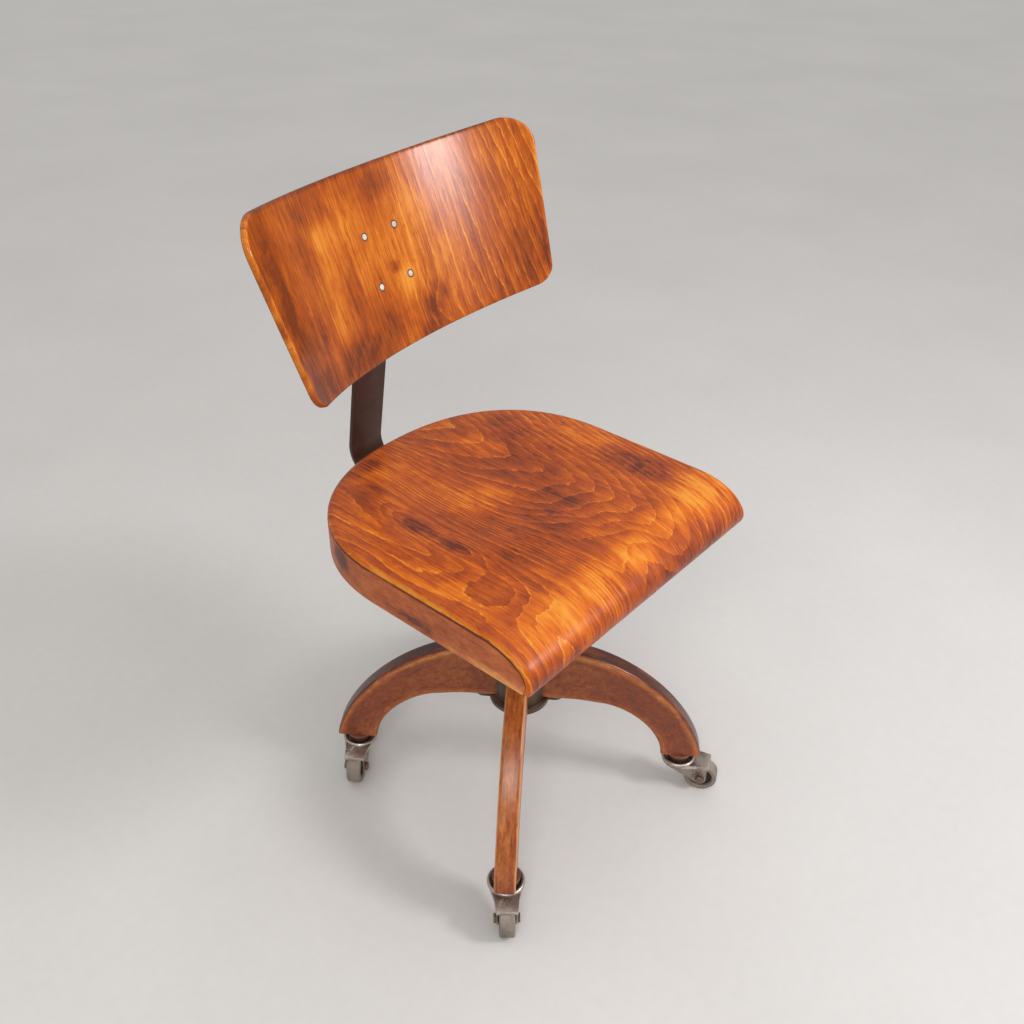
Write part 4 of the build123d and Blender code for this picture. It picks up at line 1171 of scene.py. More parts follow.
board = sheet(
    "backrest_board_skin", board_loop, [board_edge] * len(board_loop), board_lattice, board_place,
    back_wood, board_tint,
)
fit_piece(board, "backrest", "back_plywood", "backrest_board")

# %% [markdown]
# ## Turned pieces
# Rivets, screws, wheels and cups are round, as from a lathe: a profile of (radius, height) pairs
# is swept once round Z. A Screw modifier could do it too, but here the points are at hand. Points
# that fall together in the middle are merged, so that no sliver faces are left.

# %% Turned pieces
TWIN_REACH = 1e-6


def merge_twins(piece):
    """Joins points that fall together, such as the many at a turned piece's middle."""
    shape = bmesh.new()
    shape.from_mesh(piece.data)
    bmesh.ops.remove_doubles(shape, verts=shape.verts, dist=TWIN_REACH)
    bmesh.ops.dissolve_degenerate(shape, edges=shape.edges, dist=TWIN_REACH)
    bmesh.ops.recalc_face_normals(shape, faces=shape.faces)
    shape.to_mesh(piece.data)
    shape.free()


def turned(name, profile, material, steps=48, place=Matrix.Identity(4), ring=False):
    """A turned piece: (radius, height) pairs swept once round Z; a ring's profile is a closed loop."""
    points = []
    for radius, height in profile:
        for k in range(steps):
            angle = 2 * pi * k / steps
            points.append(place @ Vector((radius * cos(angle), radius * sin(angle), height)))
    count = len(profile)

    def around(i, j):
        """The grain map: round the piece, and along it."""
        return profile[i % count][0] * 2 * pi * j / steps, profile[i % count][1]

    faces, corner_uv = grid_faces(count, steps, around, ring_rows=ring)
    ends = () if ring else (0, count - 1)
    for row in ends:
        if profile[row][0] > 0:
            faces.append([row * steps + k for k in range(steps)])
            corner_uv.append([(0.0, 0.0)] * steps)
    piece = new_piece(name, points, faces, material, corner_uv)
    merge_twins(piece)
    return piece


print("turned pieces ready")

# %% [markdown]
# ## Rivets
# Four soft rivets hold the board to its bracket. Each head is a low turned dome; a thin dark ring
# round it is painted shade, standing for the gap between head and wood. The ring could be painted
# into the wood's finish, but as a thin piece of its own it stays sharp and sits exactly round its rivet.

# %% Rivets
RIVET_SPACING = 0.051
RIVET_ROWS = 0.060
RIVET_HEIGHT = 0.0028
RIVET_HEAD = 0.004
RIVET_DOME = 0.0012
RIVET_LAP = 0.0004
RIVET_STEPS = 28
BRACKET_THICKNESS = 0.003
UP = Vector((0, 0, 1))


def rivet_profile(radius, dome):
    """Half of a low dome, from its foot to its middle."""
    rise = [(radius * cos(a), dome * sin(a)) for a in np.linspace(0, pi / 2, 9)]
    return [(radius, -RIVET_LAP)] + rise[:-1] + [(0.0, dome)]


rivet_turn = RIVET_SPACING / 2 / BOARD_RADIUS
bracket_reach = BOARD_RADIUS + BOARD_THICKNESS + BRACKET_THICKNESS
head_line = rivet_profile(RIVET_HEAD - RIVET_LAP, RIVET_DOME)
gap_shade_line = [
    (RIVET_HEAD - 0.0005, 0.0), (RIVET_HEAD - 0.0003, 0.00025),
    (RIVET_HEAD + 0.0008, 0.00022), (RIVET_HEAD + 0.0013, -0.0001),
]
# The dark ring round each front head is painted shade of the gap between rivet and board.
rivet_gap_shade = worn_metal(
    "rivet_gap_painted_shade", (0.05, 0.03, 0.02), (0.09, 0.055, 0.035), (0.03, 0.018, 0.012), 0.0, 0.5
)
rivet_pieces = []
for side in (-1, 1):
    for row in (-1, 1):
        angle = side * rivet_turn
        height = RIVET_HEIGHT + row * RIVET_ROWS / 2
        for face, reach, way in (("front", BOARD_RADIUS, -1), ("back", bracket_reach, 1)):
            foot = Vector((reach * sin(angle), reach * cos(angle) - BOARD_RADIUS, height))
            out = Vector((sin(angle), cos(angle), 0)) * way
            stand = UP.rotation_difference(out).to_matrix().to_4x4()
            spot = board_frame @ Matrix.Translation(foot) @ stand
            tag = f"{face}_{side + 2}{row + 2}"
            rivet_pieces.append(turned("rivet_head_" + tag, head_line, rivet_metal, RIVET_STEPS, spot))
            if face == "front":
                ring = turned("rivet_gap_shade_" + tag, gap_shade_line, rivet_gap_shade, RIVET_STEPS, spot, True)
                rivet_pieces.append(ring)
for piece in rivet_pieces:
    fit_piece(piece, "backrest", "rivet_metal")
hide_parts("backrest_rivets")
print(len(rivet_pieces), "rivet pieces")

# %% [markdown]
# ## The legs
# Each leg is bent beech, flat-sided, deep at the drum and narrowing as it arches down to its
# caster. Two curves give its side view, upper and lower; the leg is a stack of rounded
# rectangles strung between them. An extruded side view with a bevel would look alike, but the
# grain could not follow the arch. The rounded corners carry the "edge" value, because that is
# where the lacquer has worn through.

# %% Leg lines and section
LEG_THICKNESS = 0.027
LEG_ROUND = 0.0045
LEG_REACH = 0.250
LEG_TOE_FLARE = 0.007
LEG_TIP_WIDTH = 0.056
LEG_TOP_FLAT = 0.055
LEG_LOW_FLAT = 0.064
LEG_LOW_SHOULDER = 0.108
LEG_LOW_SAG = 0.004
LEG_ARCH_POWER = 1.7
LEG_ARCH_POINTS = 61
CORNER_WEAR = 0.7
CORNER_SPAN = (0.4, 1.3)
LEAD_SHARE = 0.45
SIDE_WEARS = ((1.5, 0.5), (2.6, 0.0))
LEG_ROWS = 72
DRUM_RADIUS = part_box("hub_drum")[1].x
LEG_LOW_Z, LEG_TOP_Z = (corner.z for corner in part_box("hub_drum"))
LEG_TIP_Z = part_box("leg_1")[0].z


def arch_line(points, rows):
    """A polyline resampled to even steps, as rows of (reach, height)."""
    line = np.array(points)
    run = np.concatenate([[0], np.cumsum(np.hypot(*np.diff(line, axis=0).T))])
    at = np.linspace(0, run[-1], rows)
    return np.column_stack([np.interp(at, run, line[:, 0]), np.interp(at, run, line[:, 1])])


def quarter(width, height):
    """Points of a quarter superellipse from its level start to its upright end."""
    angles = np.linspace(pi / 2, 0, LEG_ARCH_POINTS)
    power = 2 / LEG_ARCH_POWER
    return [(width * max(cos(a), 0) ** power, height * max(sin(a), 0) ** power) for a in angles]


def leg_curves():
    """The leg's upper and lower lines in its own side view."""
    upper = [(DRUM_RADIUS, LEG_TOP_Z)]
    rise = LEG_TOP_Z - LEG_TIP_Z
    for x, z in quarter(LEG_REACH - LEG_TOP_FLAT, rise):
        upper.append((LEG_TOP_FLAT + x + LEG_TOE_FLARE * (1 - z / rise) ** 3, LEG_TIP_Z + z))
    tip_inner = LEG_REACH + LEG_TOE_FLARE - LEG_TIP_WIDTH
    lower = [(DRUM_RADIUS, LEG_LOW_Z)]
    for i in range(9):
        t = i / 8
        x = LEG_LOW_FLAT + (LEG_LOW_SHOULDER - LEG_LOW_FLAT) * t
        lower.append((x, LEG_LOW_Z - LEG_LOW_SAG * t ** 2))
    drop = LEG_LOW_Z - LEG_LOW_SAG - LEG_TIP_Z
    arch = quarter(tip_inner - LEG_LOW_SHOULDER, drop)
    lower += [(LEG_LOW_SHOULDER + x, LEG_TIP_Z + z) for x, z in arch[1:]]
    return arch_line(upper, LEG_ROWS), arch_line(lower, LEG_ROWS)


def leg_section():
    """Round the section: (side offset, distance from upper or lower line, which line, edge value)."""
    half = LEG_THICKNESS / 2
    flat = half - LEG_ROUND
    ring = []
    for side, line in ((1, 0), (1, 1), (-1, 1), (-1, 0)):
        ring_part = []
        for a in np.linspace(pi / 2, 0, 7):
            spot = (side * (flat + LEG_ROUND * cos(a)), LEG_ROUND * (1 - sin(a)))
            ring_part.append((*spot, line, CORNER_WEAR * (1 - blend_step(*CORNER_SPAN, a))))
        lead = [(side * flat * LEAD_SHARE, 0.0, line, 0.0)]
        tail = [(side * half, LEG_ROUND * reach, line, wear) for reach, wear in SIDE_WEARS]
        part = lead + ring_part + tail
        ring += part if (side, line) in ((1, 0), (-1, 1)) else part[::-1]
    return ring


print("leg section:", len(leg_section()), "points")

# %% [markdown]
# ## Four legs, each with its own wear and painted light
# All legs have one shape, and each is turned to its place above its caster. Their values differ:
# the leg that points to the front gets a painted highlight along its top and is dark at its toe,
# and the others get painted shade on top. A shift of the grain map gives each its own wood.

# %% Legs
LEG_RINGS = 60.0
LEG_LINES = 0.04
LEG_SIDE_GRAIN = 0.03
LEG_LEAST_STEP = 0.002
LEG_GAP = 0.0001
LEG_TOE = (0.24, 0.29)
LEG_ROOT = (0.03, 0.1)
FRONT_LEG = 3
# The top values are painted shade on the side legs' tops and a painted highlight on the front leg's top.
TOE_STAIN, TOP_PAINTED_SHADE = 1.3, 1.2
ROOT_PALE, TOP_PAINTED_HIGHLIGHT = 0.2, 0.5
FRONT_LEG_WEAR, UPPER_WEAR, LOWER_WEAR = 1.7, 1.0, 0.6
LEG_SHIFT = (0.37, 1.7)


def make_leg(number, angle):
    """One leg: its sections strung between the two lines, turned to its place round the drum."""
    upper, lower = leg_curves()
    ring = leg_section()
    columns = len(ring)
    spin = Matrix.Rotation(angle, 4, "Z")
    points = []
    marks = {}
    runs = [0.0]
    middle = (upper + lower) / 2
    for step in np.hypot(*np.diff(middle, axis=0).T):
        runs.append(runs[-1] + step)
    girth = [0.0]
    for a, b in zip(ring, ring[1:] + ring[:1]):
        side_face = LEG_SIDE_GRAIN if a[2] != b[2] else 0
        girth.append(girth[-1] + max(hypot(a[0] - b[0], a[1] - b[1]), LEG_LEAST_STEP) + side_face)
    for i in range(LEG_ROWS):
        high, low = Vector(upper[i]), Vector(lower[i])
        down = (low - high).normalized()
        for column, (side, off, line, edge) in enumerate(ring):
            spot = high + down * off if line == 0 else low - down * off
            x = spot.x
            if i == 0:
                x = sqrt((DRUM_RADIUS + LEG_GAP) ** 2 - side ** 2)
            points.append(spin @ Vector((x, side, spot.y)))
            # Painted shade darkens the tops of the side legs; a painted highlight lightens the top of the front
            # leg.
            top_face = (1.0 - edge) if line == 0 and off < LEG_ROUND else 0.0
            toe = blend_step(*LEG_TOE, runs[i])
            stain = TOE_STAIN * toe if number == FRONT_LEG else TOP_PAINTED_SHADE * top_face
            pale = ROOT_PALE * (1 - blend_step(*LEG_ROOT, runs[i]))
            if number == FRONT_LEG:
                pale += TOP_PAINTED_HIGHLIGHT * top_face * (1 - toe)
            upper_wear = FRONT_LEG_WEAR if number == FRONT_LEG else UPPER_WEAR
            worn = upper_wear if line == 0 else LOWER_WEAR
            note(
                marks, edge=edge * worn, stain=stain, pale=pale, lines=LEG_LINES,
                level=LEG_RINGS * girth[column], slope=LEG_RINGS,
            )

    def along_leg(i, j):
        """The grain map, shifted so that no two legs show the same wood."""
        return girth[j] + LEG_SHIFT[0] * number, runs[i] + LEG_SHIFT[1] * number

    faces, corner_uv = grid_faces(LEG_ROWS, columns, along_leg)
    for row in (0, LEG_ROWS - 1):
        faces.append([row * columns + j for j in range(columns)])
        corner_uv.append([(ring[j][0], 0.01 * j) for j in range(columns)])
    return new_piece(f"leg_{number}_bent", points, faces, leg_wood, corner_uv, marks)


for number in range(1, 5):
    foot = joint_at[f"caster_{number}_turn"]
    leg = make_leg(number, atan2(foot.y, foot.x))
    fit_piece(leg, "base", "leg_wood", f"leg_{number}")
print("legs of", LEG_ROWS, "rows each")

# %% [markdown]
# ## The threaded spindle
# The seat stands on a steel bar with a coarse thread, so that turning the hand nut sets the
# height. A thread could be a bump in the finish, but its outline would stay straight. Here each
# point's radius follows the helix: a full wave for each pitch upward and for each turn round. The
# keyway, which keeps the bar from turning in its bush, is a flat let into the same grid.

# %% Threaded spindle
THREAD_PITCH = 0.006
THREAD_DEPTH = 0.0013
THREAD_IN = (0.003, 0.008)
THREAD_OUT = (0.012, 0.006)
SPINDLE_CHAMFER = 0.0015
PIN_CHAMFER = 0.0012
ROW_STEP = 0.0006
LAST_ROW_GAP = 0.0003
SPINDLE_SHOULDER_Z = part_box("swivel_washer")[0].z
SPINDLE_PIN = 0.010
KEYWAY_DEPTH = 0.003
KEYWAY_HALF = 0.0034
KEYWAY_ENDS = (0.1315, 0.2555)
SPINDLE_STEPS = 72
spindle_low, spindle_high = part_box("spindle")
key_low, key_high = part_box("key_screw")
key_angle = atan2(key_low.y + key_high.y, key_low.x + key_high.x)


def thread_radius(angle, z):
    """The bar's radius at an angle and a height."""
    radius = spindle_high.x
    wave = 0.5 - 0.5 * cos(2 * pi * (z / THREAD_PITCH) - angle)
    start = blend_step(spindle_low.z + THREAD_IN[0], spindle_low.z + THREAD_IN[1], z)
    stop = 1 - blend_step(SPINDLE_SHOULDER_Z - THREAD_OUT[0], SPINDLE_SHOULDER_Z - THREAD_OUT[1], z)
    cut = radius - THREAD_DEPTH * wave * start * stop
    aside = (angle - key_angle + pi) % (2 * pi) - pi
    beside = abs(radius * sin(aside)) <= KEYWAY_HALF + 1e-6 and cos(aside) > 0
    if beside and KEYWAY_ENDS[0] < z < KEYWAY_ENDS[1]:
        cut = min(cut, (radius - KEYWAY_DEPTH) / cos(aside))
    return cut


spindle_rows = [(spindle_low.z, 0.0, SPINDLE_CHAMFER)]
for z in np.arange(spindle_low.z + SPINDLE_CHAMFER, SPINDLE_SHOULDER_Z - LAST_ROW_GAP, ROW_STEP):
    spindle_rows.append((float(z), 0.0, 0.0))
pin_in = spindle_high.x - SPINDLE_PIN
spindle_rows += [(SPINDLE_SHOULDER_Z, 0.0, 0.0), (SPINDLE_SHOULDER_Z, pin_in, 0.0)]
spindle_rows += [(spindle_high.z - PIN_CHAMFER, pin_in, 0.0), (spindle_high.z, pin_in, PIN_CHAMFER)]
spindle_points = []
for z, step_in, chamfer in spindle_rows:
    for k in range(SPINDLE_STEPS):
        angle = key_angle + 2 * pi * k / SPINDLE_STEPS
        radius = thread_radius(angle, z) - step_in - chamfer
        spindle_points.append((radius * cos(angle), radius * sin(angle), z))
spindle_faces, spindle_uv = grid_faces(
    len(spindle_rows), SPINDLE_STEPS, lambda i, j: (0.001 * j, spindle_rows[i][0])
)
for row in (0, len(spindle_rows) - 1):
    spindle_faces.append([row * SPINDLE_STEPS + k for k in range(SPINDLE_STEPS)])
    spindle_uv.append([(0.0, 0.0)] * SPINDLE_STEPS)
spindle = new_piece("spindle_thread", spindle_points, spindle_faces, bright_steel, spindle_uv)
print("spindle:", len(spindle_rows), "rows, pitch", THREAD_PITCH)

# %% [markdown]
# ## Blocks and joins
# The raised halves of a screw's head are small blocks: one outline, repeated at a few heights and
# scaled at each, so that the upper edge is eased. A boolean cut would give the slot too, but leaves
# a rougher mesh. Parts of one finish are then joined into one piece.

# %% Blocks and joins
def lofted(name, outline, levels, material, place=Matrix.Identity(4)):
    """A block: one outline repeated at (scale, height) levels and closed at both ends."""
    centre = sum((Vector(spot) for spot in outline), Vector((0, 0))) / len(outline)
    columns = len(outline)
    points = []
    for scale, height in levels:
        for spot in outline:
            points.append(place @ Vector((*(centre + (Vector(spot) - centre) * scale), height)))
    faces, corner_uv = grid_faces(len(levels), columns, lambda i, j: (0.01 * j, levels[i][1]))
    for row in (0, len(levels) - 1):
        faces.append([row * columns + j for j in range(columns)])
        corner_uv.append([(0.0, 0.0)] * columns)
    return new_piece(name, points, faces, material, corner_uv)


def joined(name, pieces):
    """One piece from several of one finish, such as a screw from its shank and its head."""
    material = pieces[0].data.materials[0]
    shape = bmesh.new()
    for piece in pieces:
        shape.from_mesh(piece.data)
        bpy.data.objects.remove(piece)
    mesh = bpy.data.meshes.new(name)
    shape.to_mesh(mesh)
    shape.free()
    mesh.materials.append(material)
    whole = bpy.data.objects.new(name, mesh)
    bpy.context.scene.collection.objects.link(whole)
    return whole


print("blocks and joins ready")

# %% [markdown]
# ## Slotted screws
# Wood screws hold the plates to the legs and to the battens. A real head is a low dome with one
# saw cut, so each is turned up to the floor of the slot and gets two raised halves with the slot
# left between them.

# %% Slotted screws
SCREW_RADIUS = 0.0025
SCREW_LENGTH = 0.026
SCREW_POINT = 0.006
SCREW_HEAD_RADIUS = 0.005
SCREW_HEAD_HEIGHT = 0.0025
SLOT_HALF = 0.0006
SLOT_FLOOR = 0.0011
SLOT_LAP = 0.0001
LUG_SCREW_REACH = 0.049
SLOT_TURNS = (9.0, 5.0, 0.7)


def slotted_screw(name, place):
    """A wood screw with its head up at a place."""
    body = [
        (0.0, -SCREW_LENGTH), (SCREW_RADIUS, SCREW_POINT - SCREW_LENGTH), (SCREW_RADIUS, 0.0),
        (SCREW_HEAD_RADIUS, 0.0), (SCREW_HEAD_RADIUS, SLOT_FLOOR), (0.0, SLOT_FLOOR),
    ]
    pieces = [turned(name, body, fastener_steel, 24, place)]
    start = asin(SLOT_HALF / SCREW_HEAD_RADIUS)
    for side in (1, -1):
        arc = np.linspace(start, pi - start, 15)
        half = [(SCREW_HEAD_RADIUS * cos(a), side * SCREW_HEAD_RADIUS * sin(a)) for a in arc]
        levels = (
            (1.0, SLOT_FLOOR - SLOT_LAP), (1.0, 0.6 * SCREW_HEAD_HEIGHT),
            (0.86, 0.92 * SCREW_HEAD_HEIGHT), (0.6, SCREW_HEAD_HEIGHT),
        )
        pieces.append(lofted(name, half, levels, fastener_steel, place))
    return joined(name, pieces)


stems = [joint_at[f"caster_{n}_turn"] for n in range(1, 5)]
leg_angles = [atan2(stem.y, stem.x) for stem in stems]
head_down = Matrix.Rotation(pi, 4, "X")
screws_low, screws_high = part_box("plate_screws")
plate_z = screws_low.z + SCREW_HEAD_HEIGHT
plate_x = screws_high.x - SCREW_HEAD_RADIUS
screw_places = {"plate_screws": [], "lower_leg_screws": [], "upper_leg_screws": []}
for x in (-plate_x, plate_x):
    for y in (screws_low.y + SCREW_HEAD_RADIUS, screws_high.y - SCREW_HEAD_RADIUS):
        slot_angle = SLOT_TURNS[0] * x + SLOT_TURNS[1] * y
        spot = Matrix.Translation((x, y, plate_z)) @ Matrix.Rotation(slot_angle, 4, "Z")
        screw_places["plate_screws"].append(spot @ head_down)
low_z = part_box("lower_leg_screws")[0].z + SCREW_HEAD_HEIGHT
high_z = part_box("upper_leg_screws")[1].z - SCREW_HEAD_HEIGHT
for k, angle in enumerate(leg_angles):
    spot = Matrix.Rotation(angle, 4, "Z") @ Matrix.Translation((LUG_SCREW_REACH, 0, 0))
    turned_slot = spot @ Matrix.Rotation(SLOT_TURNS[2] * k, 4, "Z")
    screw_places["lower_leg_screws"].append(Matrix.Translation((0, 0, low_z)) @ turned_slot @ head_down)
    screw_places["upper_leg_screws"].append(Matrix.Translation((0, 0, high_z)) @ turned_slot)
screw_sets = {}
for name, places in screw_places.items():
    screws = [slotted_screw(f"{name}_{k + 1}", place) for k, place in enumerate(places)]
    screw_sets[name] = joined(name + "_slotted", screws)
print(sum(len(places) for places in screw_places.values()), "slotted screws")

# %% [markdown]
# ## Caster wheels and cups
# Each wheel is a grey tread shrunk onto a dark iron disc, with a hub that stands out to the fork.
# Tread and disc are turned: a closed profile is swept round the axle. The cup of the swivel ends
# in a rolled rim that use has polished bright; it is a ring of its own on the fork. Two small
# webs take the width of the cup over to the narrower hood, as a pressed or cast fork does. A
# subdivided fork could blend cup and hood in one mesh, but would lose the fit to its solid.

# %% Caster wheels and cups
WHEEL_RADIUS = 0.023
WHEEL_HALF = 0.0098
TYRE_INNER = 0.017
TYRE_ROUND = 0.0025
HUB_HALF = 0.0104
CUP_LINE = (
    (0.0187, 0.0012), (0.0192, 0.0024), (0.0204, 0.0032), (0.0221, 0.0032), (0.0235, 0.0023),
    (0.0241, 0.0008), (0.0240, -0.0008), (0.0232, -0.0020), (0.0228, -0.0032), (0.0231, -0.0042),
    (0.0228, -0.0052), (0.0214, -0.0068), (0.0194, -0.0080), (0.0186, -0.0076), (0.0200, -0.0050),
    (0.0204, -0.0004), (0.0188, 0.0004),
)
FORK_HALF = 0.0133
NECK_END = 0.036
NECK_LAP, NECK_PROUD = 0.0005, 0.0002
NECK_INNER, NECK_OUTER = 0.0212, 0.0228
NECK_LEVELS = ((0.86, 0.0442), (1.0, 0.0452), (1.0, 0.0476), (0.94, 0.0486), (0.8, 0.0490))


def neck_plan(side):
    """One web between cup and hood from above: along the cup, along the hood, and a straight edge."""
    lap = FORK_HALF - NECK_LAP
    touch = atan2(FORK_HALF, NECK_END) + acos(NECK_OUTER / hypot(NECK_END, FORK_HALF))
    plan = [(NECK_OUTER * cos(touch), NECK_OUTER * sin(touch))]
    for a in np.linspace(touch, asin(lap / NECK_INNER), 9):
        plan.append((NECK_INNER * cos(a), NECK_INNER * sin(a)))
    plan += [(NECK_END, lap), (NECK_END, FORK_HALF + NECK_PROUD)]
    return [(x, side * y) for x, y in plan[::side]]


def mirrored(half):
    """A closed profile from its one half: the same points again on the other side."""
    return half + [(radius, -height) for radius, height in reversed(half)]


tyre_corner = [
    (WHEEL_RADIUS - TYRE_ROUND + TYRE_ROUND * sin(a), WHEEL_HALF - TYRE_ROUND + TYRE_ROUND * cos(a))
    for a in np.linspace(0, pi / 2, 7)
]
tyre_half = [(TYRE_INNER + 0.0001, WHEEL_HALF - 0.0012), (TYRE_INNER + 0.0009, WHEEL_HALF)]
tyre_half += tyre_corner + [(WHEEL_RADIUS, 0.003)]
core_half = [
    (0.00405, HUB_HALF), (0.0070, HUB_HALF), (0.0075, HUB_HALF - 0.0005), (0.0077, 0.0056),
    (0.0086, 0.0043), (0.0138, 0.0040), (0.0147, 0.0046), (0.0152, 0.0066), (0.0157, 0.0074),
    (TYRE_INNER, 0.0076),
]
caster_pieces = {}
for number in range(1, 5):
    stem = joint_at[f"caster_{number}_turn"]
    axle = joint_at[f"caster_{number}_roll"]
    trail = Vector((axle.x - stem.x, axle.y - stem.y, 0)).normalized()
    wheel_turn = Matrix((trail, UP, trail.cross(UP))).transposed().to_4x4()
    wheel_place = Matrix.Translation(axle) @ wheel_turn
    name = f"caster_{number}_"
    tyre = turned(name + "tread", mirrored(tyre_half), tread, 64, wheel_place, True)
    core = turned(name + "disc", mirrored(core_half), wheel_iron, 48, wheel_place, True)
    caster_pieces[name + "tyre"] = tyre
    caster_pieces[name + "wheel_core"] = core
    rim_place = Matrix.Translation((stem.x, stem.y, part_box(name + "balls")[1].z))
    rim = turned(name + "cup_rim", CUP_LINE, cup_bright, 56, rim_place, True)
    lie = Matrix((trail, UP.cross(trail), UP)).transposed().to_4x4()
    lie.translation = (stem.x, stem.y, 0)
    webs = [lofted(name + "web", neck_plan(side), NECK_LEVELS, caster_plate, lie) for side in (1, -1)]
    for piece in (rim, joined(name + "neck", webs)):
        fit_piece(piece, body_of[name + "fork"], slot_of[name + "fork"])
print(len(caster_pieces), "wheel pieces")

# %% [markdown]
# ## Metalwork kept from the solids
# Plates, nuts, bolts, forks and the strap have the right shape already. They could be drawn again,
# but they only need their hard edges broken and a finish. So each is a softened copy that stands
# for its solid: flat faces are cleaned up and a Bevel modifier breaks the edges.

# %% Softened copies
FLAT_TURN = radians(0.6)
HARD_EDGE = radians(32)
BEVEL_STEPS = 2


def softened(name, solid, material, width):
    """A copy of a solid whose hard edges are broken, as a file or years of use break them."""
    mesh = frame["nodes"][solid].data.copy()
    shape = bmesh.new()
    shape.from_mesh(mesh)
    bmesh.ops.remove_doubles(shape, verts=shape.verts, dist=TWIN_REACH)
    bmesh.ops.dissolve_limit(shape, angle_limit=FLAT_TURN, verts=shape.verts, edges=shape.edges)
    bmesh.ops.recalc_face_normals(shape, faces=shape.faces)
    shape.to_mesh(mesh)
    shape.free()
    mesh.polygons.foreach_set("use_smooth", [True] * len(mesh.polygons))
    mesh.materials.clear()
    mesh.materials.append(material)
    piece = bpy.data.objects.new(name, mesh)
    bpy.context.scene.collection.objects.link(piece)
    bevel = piece.modifiers.new("broken edges", "BEVEL")
    bevel.width = width
    bevel.segments = BEVEL_STEPS
    bevel.limit_method = "ANGLE"
    bevel.angle_limit = HARD_EDGE
    bevel.harden_normals = True
    return piece


print("edges sharper than", round(HARD_EDGE * 180 / pi), "degrees are broken")

# %% [markdown]
# ## Each solid's finish and edge
# The table gives each solid its finish and the width of its broken edge, in metres. Bearing balls
# are round already and only get their finish.

# %% Softened metalwork
EASED = {
    "back_strap": (strap_paint, 0.0009),
    "backrest_bracket": (strap_paint, 0.0006),
    "pivot_pin": (bright_steel, 0.0008),
    "hub_drum": (hub_iron, 0.0012),
    "lower_leg_plate": (hub_iron, 0.0008),
    "upper_leg_plate": (hub_iron, 0.0008),
    "height_collar": (bright_steel, 0.0008),
    "collar_washer": (bright_steel, 0.0004),
    "swivel_washer": (bright_steel, 0.0004),
    "spindle_top_nut": (fastener_steel, 0.0006),
    "key_screw": (fastener_steel, 0.0005),
    "seat_plate": (strap_paint, 0.0007),
    "strap_bolts": (fastener_steel, 0.0006),
    "strap_nuts": (fastener_steel, 0.0006),
    "guide_bush": (brass, 0.0005),
    "front_rail": (planed_wood, 0.001),
    "front_batten": (planed_wood, 0.001),
    "rear_batten": (planed_wood, 0.001),
}
for number in range(1, 5):
    EASED[f"caster_{number}_socket"] = (socket_inside_dark, 0.0006)
    EASED[f"caster_{number}_fork"] = (caster_plate, 0.0009)
    EASED[f"caster_{number}_axle"] = (hub_iron, 0.0005)
    EASED[f"caster_{number}_axle_nut"] = (hub_iron, 0.0005)
    frame["nodes"][f"caster_{number}_balls"].material_slots[0].material = bright_steel
finished = {"spindle": spindle, **screw_sets, **caster_pieces}
for name, (finish, width) in EASED.items():
    finished[name] = softened(name + "_eased", name, finish, width)
for name, piece in finished.items():
    fit_piece(piece, body_of[name], slot_of[name], name)
print(len(EASED), "softened pieces,", len(finished), "fitted")

# %% [markdown]
# ## The floor
# The chair stands on a plain pale floor, so wide that it fills the picture. It takes the chair's
# shadow and is no piece of the chair.

# %% Floor
FLOOR_HALF = 60.0
FLOOR_COLOUR = (0.61, 0.595, 0.577)
FLOOR_CLOUDING = 0.05
FLOOR_ROUGHNESS = 0.7


def pale_floor():
    """The floor's finish, a little cloudy."""
    material, tree, shader = new_finish("pale_floor")
    place = object_place(tree)
    cloud = noise(tree, place, 1.6, 4.0, 0.6)
    fine = noise(tree, place, 60.0, 3.0, 0.6)
    tone = calc(tree, "MULTIPLY_ADD", fine, 0.3, calc(tree, "MULTIPLY", cloud, 0.7))
    low = tuple((1 - FLOOR_CLOUDING) * c for c in FLOOR_COLOUR)
    high = tuple((1 + FLOOR_CLOUDING) * c for c in FLOOR_COLOUR)
    fill(tree, shader.inputs["Base Color"], ramp(tree, tone, (0.3, low), (0.7, high)))
    shader.inputs["Roughness"].default_value = FLOOR_ROUGHNESS
    return material


floor_mesh = bpy.data.meshes.new("floor")
floor_corners = [(x * FLOOR_HALF, y * FLOOR_HALF, 0.0) for x, y in ((-1, -1), (1, -1), (1, 1), (-1, 1))]
floor_mesh.from_pydata(floor_corners, [], [(0, 1, 2, 3)])
floor_mesh.materials.append(pale_floor())
floor = bpy.data.objects.new("floor", floor_mesh)
scene.collection.objects.link(floor)
print("floor", 2 * FLOOR_HALF, "m wide")

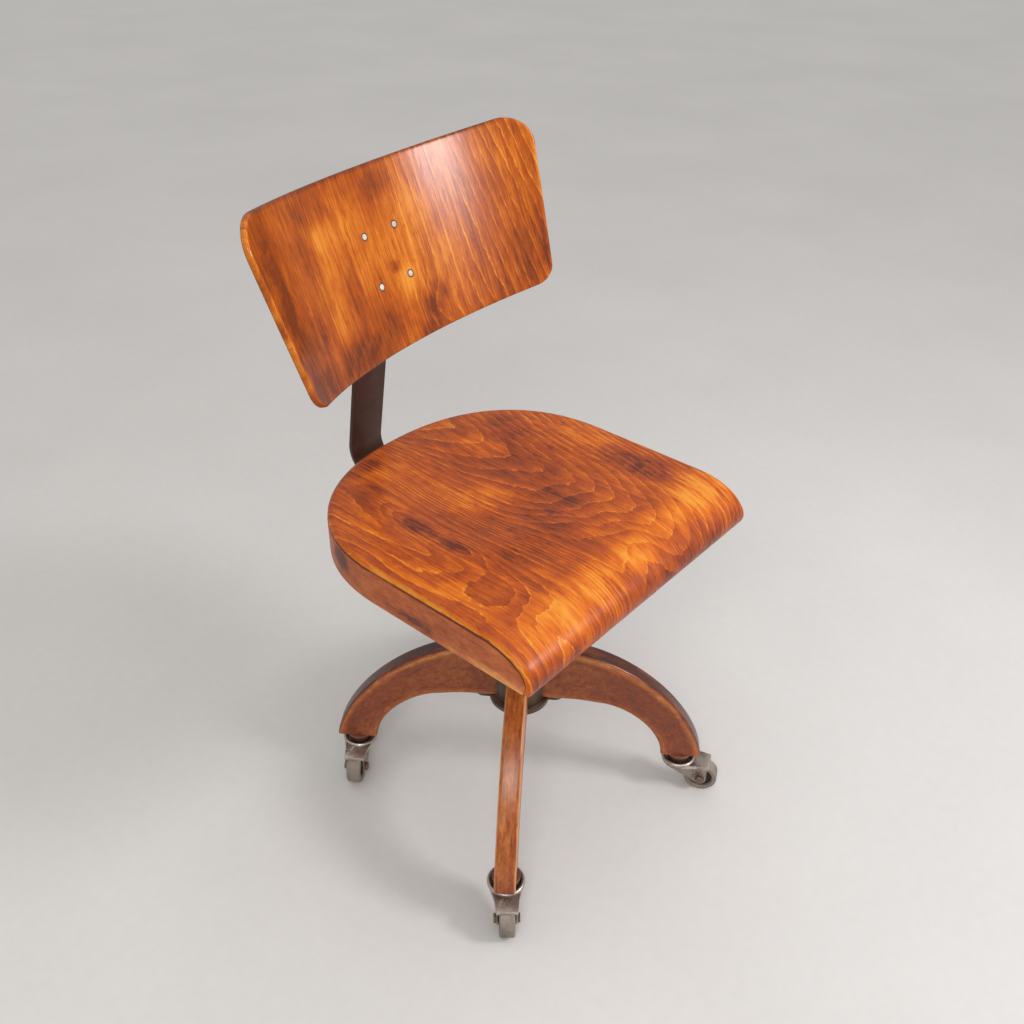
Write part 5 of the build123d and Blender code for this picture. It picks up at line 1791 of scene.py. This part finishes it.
# %% [markdown]
# ## Lamps and sky
# The light is even, with a broad lamp in front of the chair and a soft panel at its side. A few
# strong lamps would be quicker, but the even light of the world lets colours render about as they
# are written; the two lamps add the soft sheen on the lacquer. The sky brightens towards the top,
# so that upright faces are a little darker than level ones.

# %% Lamps and sky
LAMPS = {
    "window": ((0.79, -1.74, 1.57), (0.12, 0.2, 0.78), (0.56, 0.4), 25.0, (1.0, 0.98, 1.0)),
    "panel": ((-1.4, -0.9, 1.85), (-0.15, -0.1, 0.2), (0.7, 0.7), 14.0, (1.0, 0.98, 0.98)),
}
SUN_STRENGTH = 0.35
SUN_SPREAD = radians(75)
SUN_TURN = (radians(28), 0, radians(25))
SKY_STRENGTH = 0.82
SKY_TINT = (1.0, 0.99, 0.975)
SKY_RISE = ((0.0, 0.5), (0.35, 0.62), (0.75, 0.76), (0.93, 1.0), (1.0, 1.5))


def soft_lamp(name, place, target, size, watts, colour):
    """A broad lamp at a place, turned to its target."""
    lamp = bpy.data.lights.new(name, "AREA")
    lamp.shape = "RECTANGLE"
    lamp.size, lamp.size_y = size
    lamp.energy = watts
    lamp.color = colour
    holder = bpy.data.objects.new(name, lamp)
    scene.collection.objects.link(holder)
    holder.location = place
    holder.rotation_euler = (Vector(target) - Vector(place)).to_track_quat("-Z", "Y").to_euler()


for name, settings in LAMPS.items():
    soft_lamp(name, *settings)
sun = bpy.data.lights.new("high_sky", "SUN")
sun.energy = SUN_STRENGTH
sun.angle = SUN_SPREAD
sky_holder = bpy.data.objects.new("high_sky", sun)
sky_holder.rotation_euler = SUN_TURN
scene.collection.objects.link(sky_holder)
world = bpy.data.worlds.new("sky")
world.use_nodes = True
sky_tree = world.node_tree
sky = sky_tree.nodes["Background"]
facing = node(sky_tree, "ShaderNodeTexCoord")
sky_height = node(sky_tree, "ShaderNodeSeparateXYZ", {0: facing}, out=2)
sky_stops = [(at, tuple(level * c for c in SKY_TINT)) for at, level in SKY_RISE]
fill(sky_tree, sky.inputs["Color"], ramp(sky_tree, sky_height, *sky_stops))
sky.inputs["Strength"].default_value = SKY_STRENGTH
scene.world = world
scene.view_settings.view_transform = "Standard"
print(len(LAMPS), "lamps, a high soft sun and the sky")
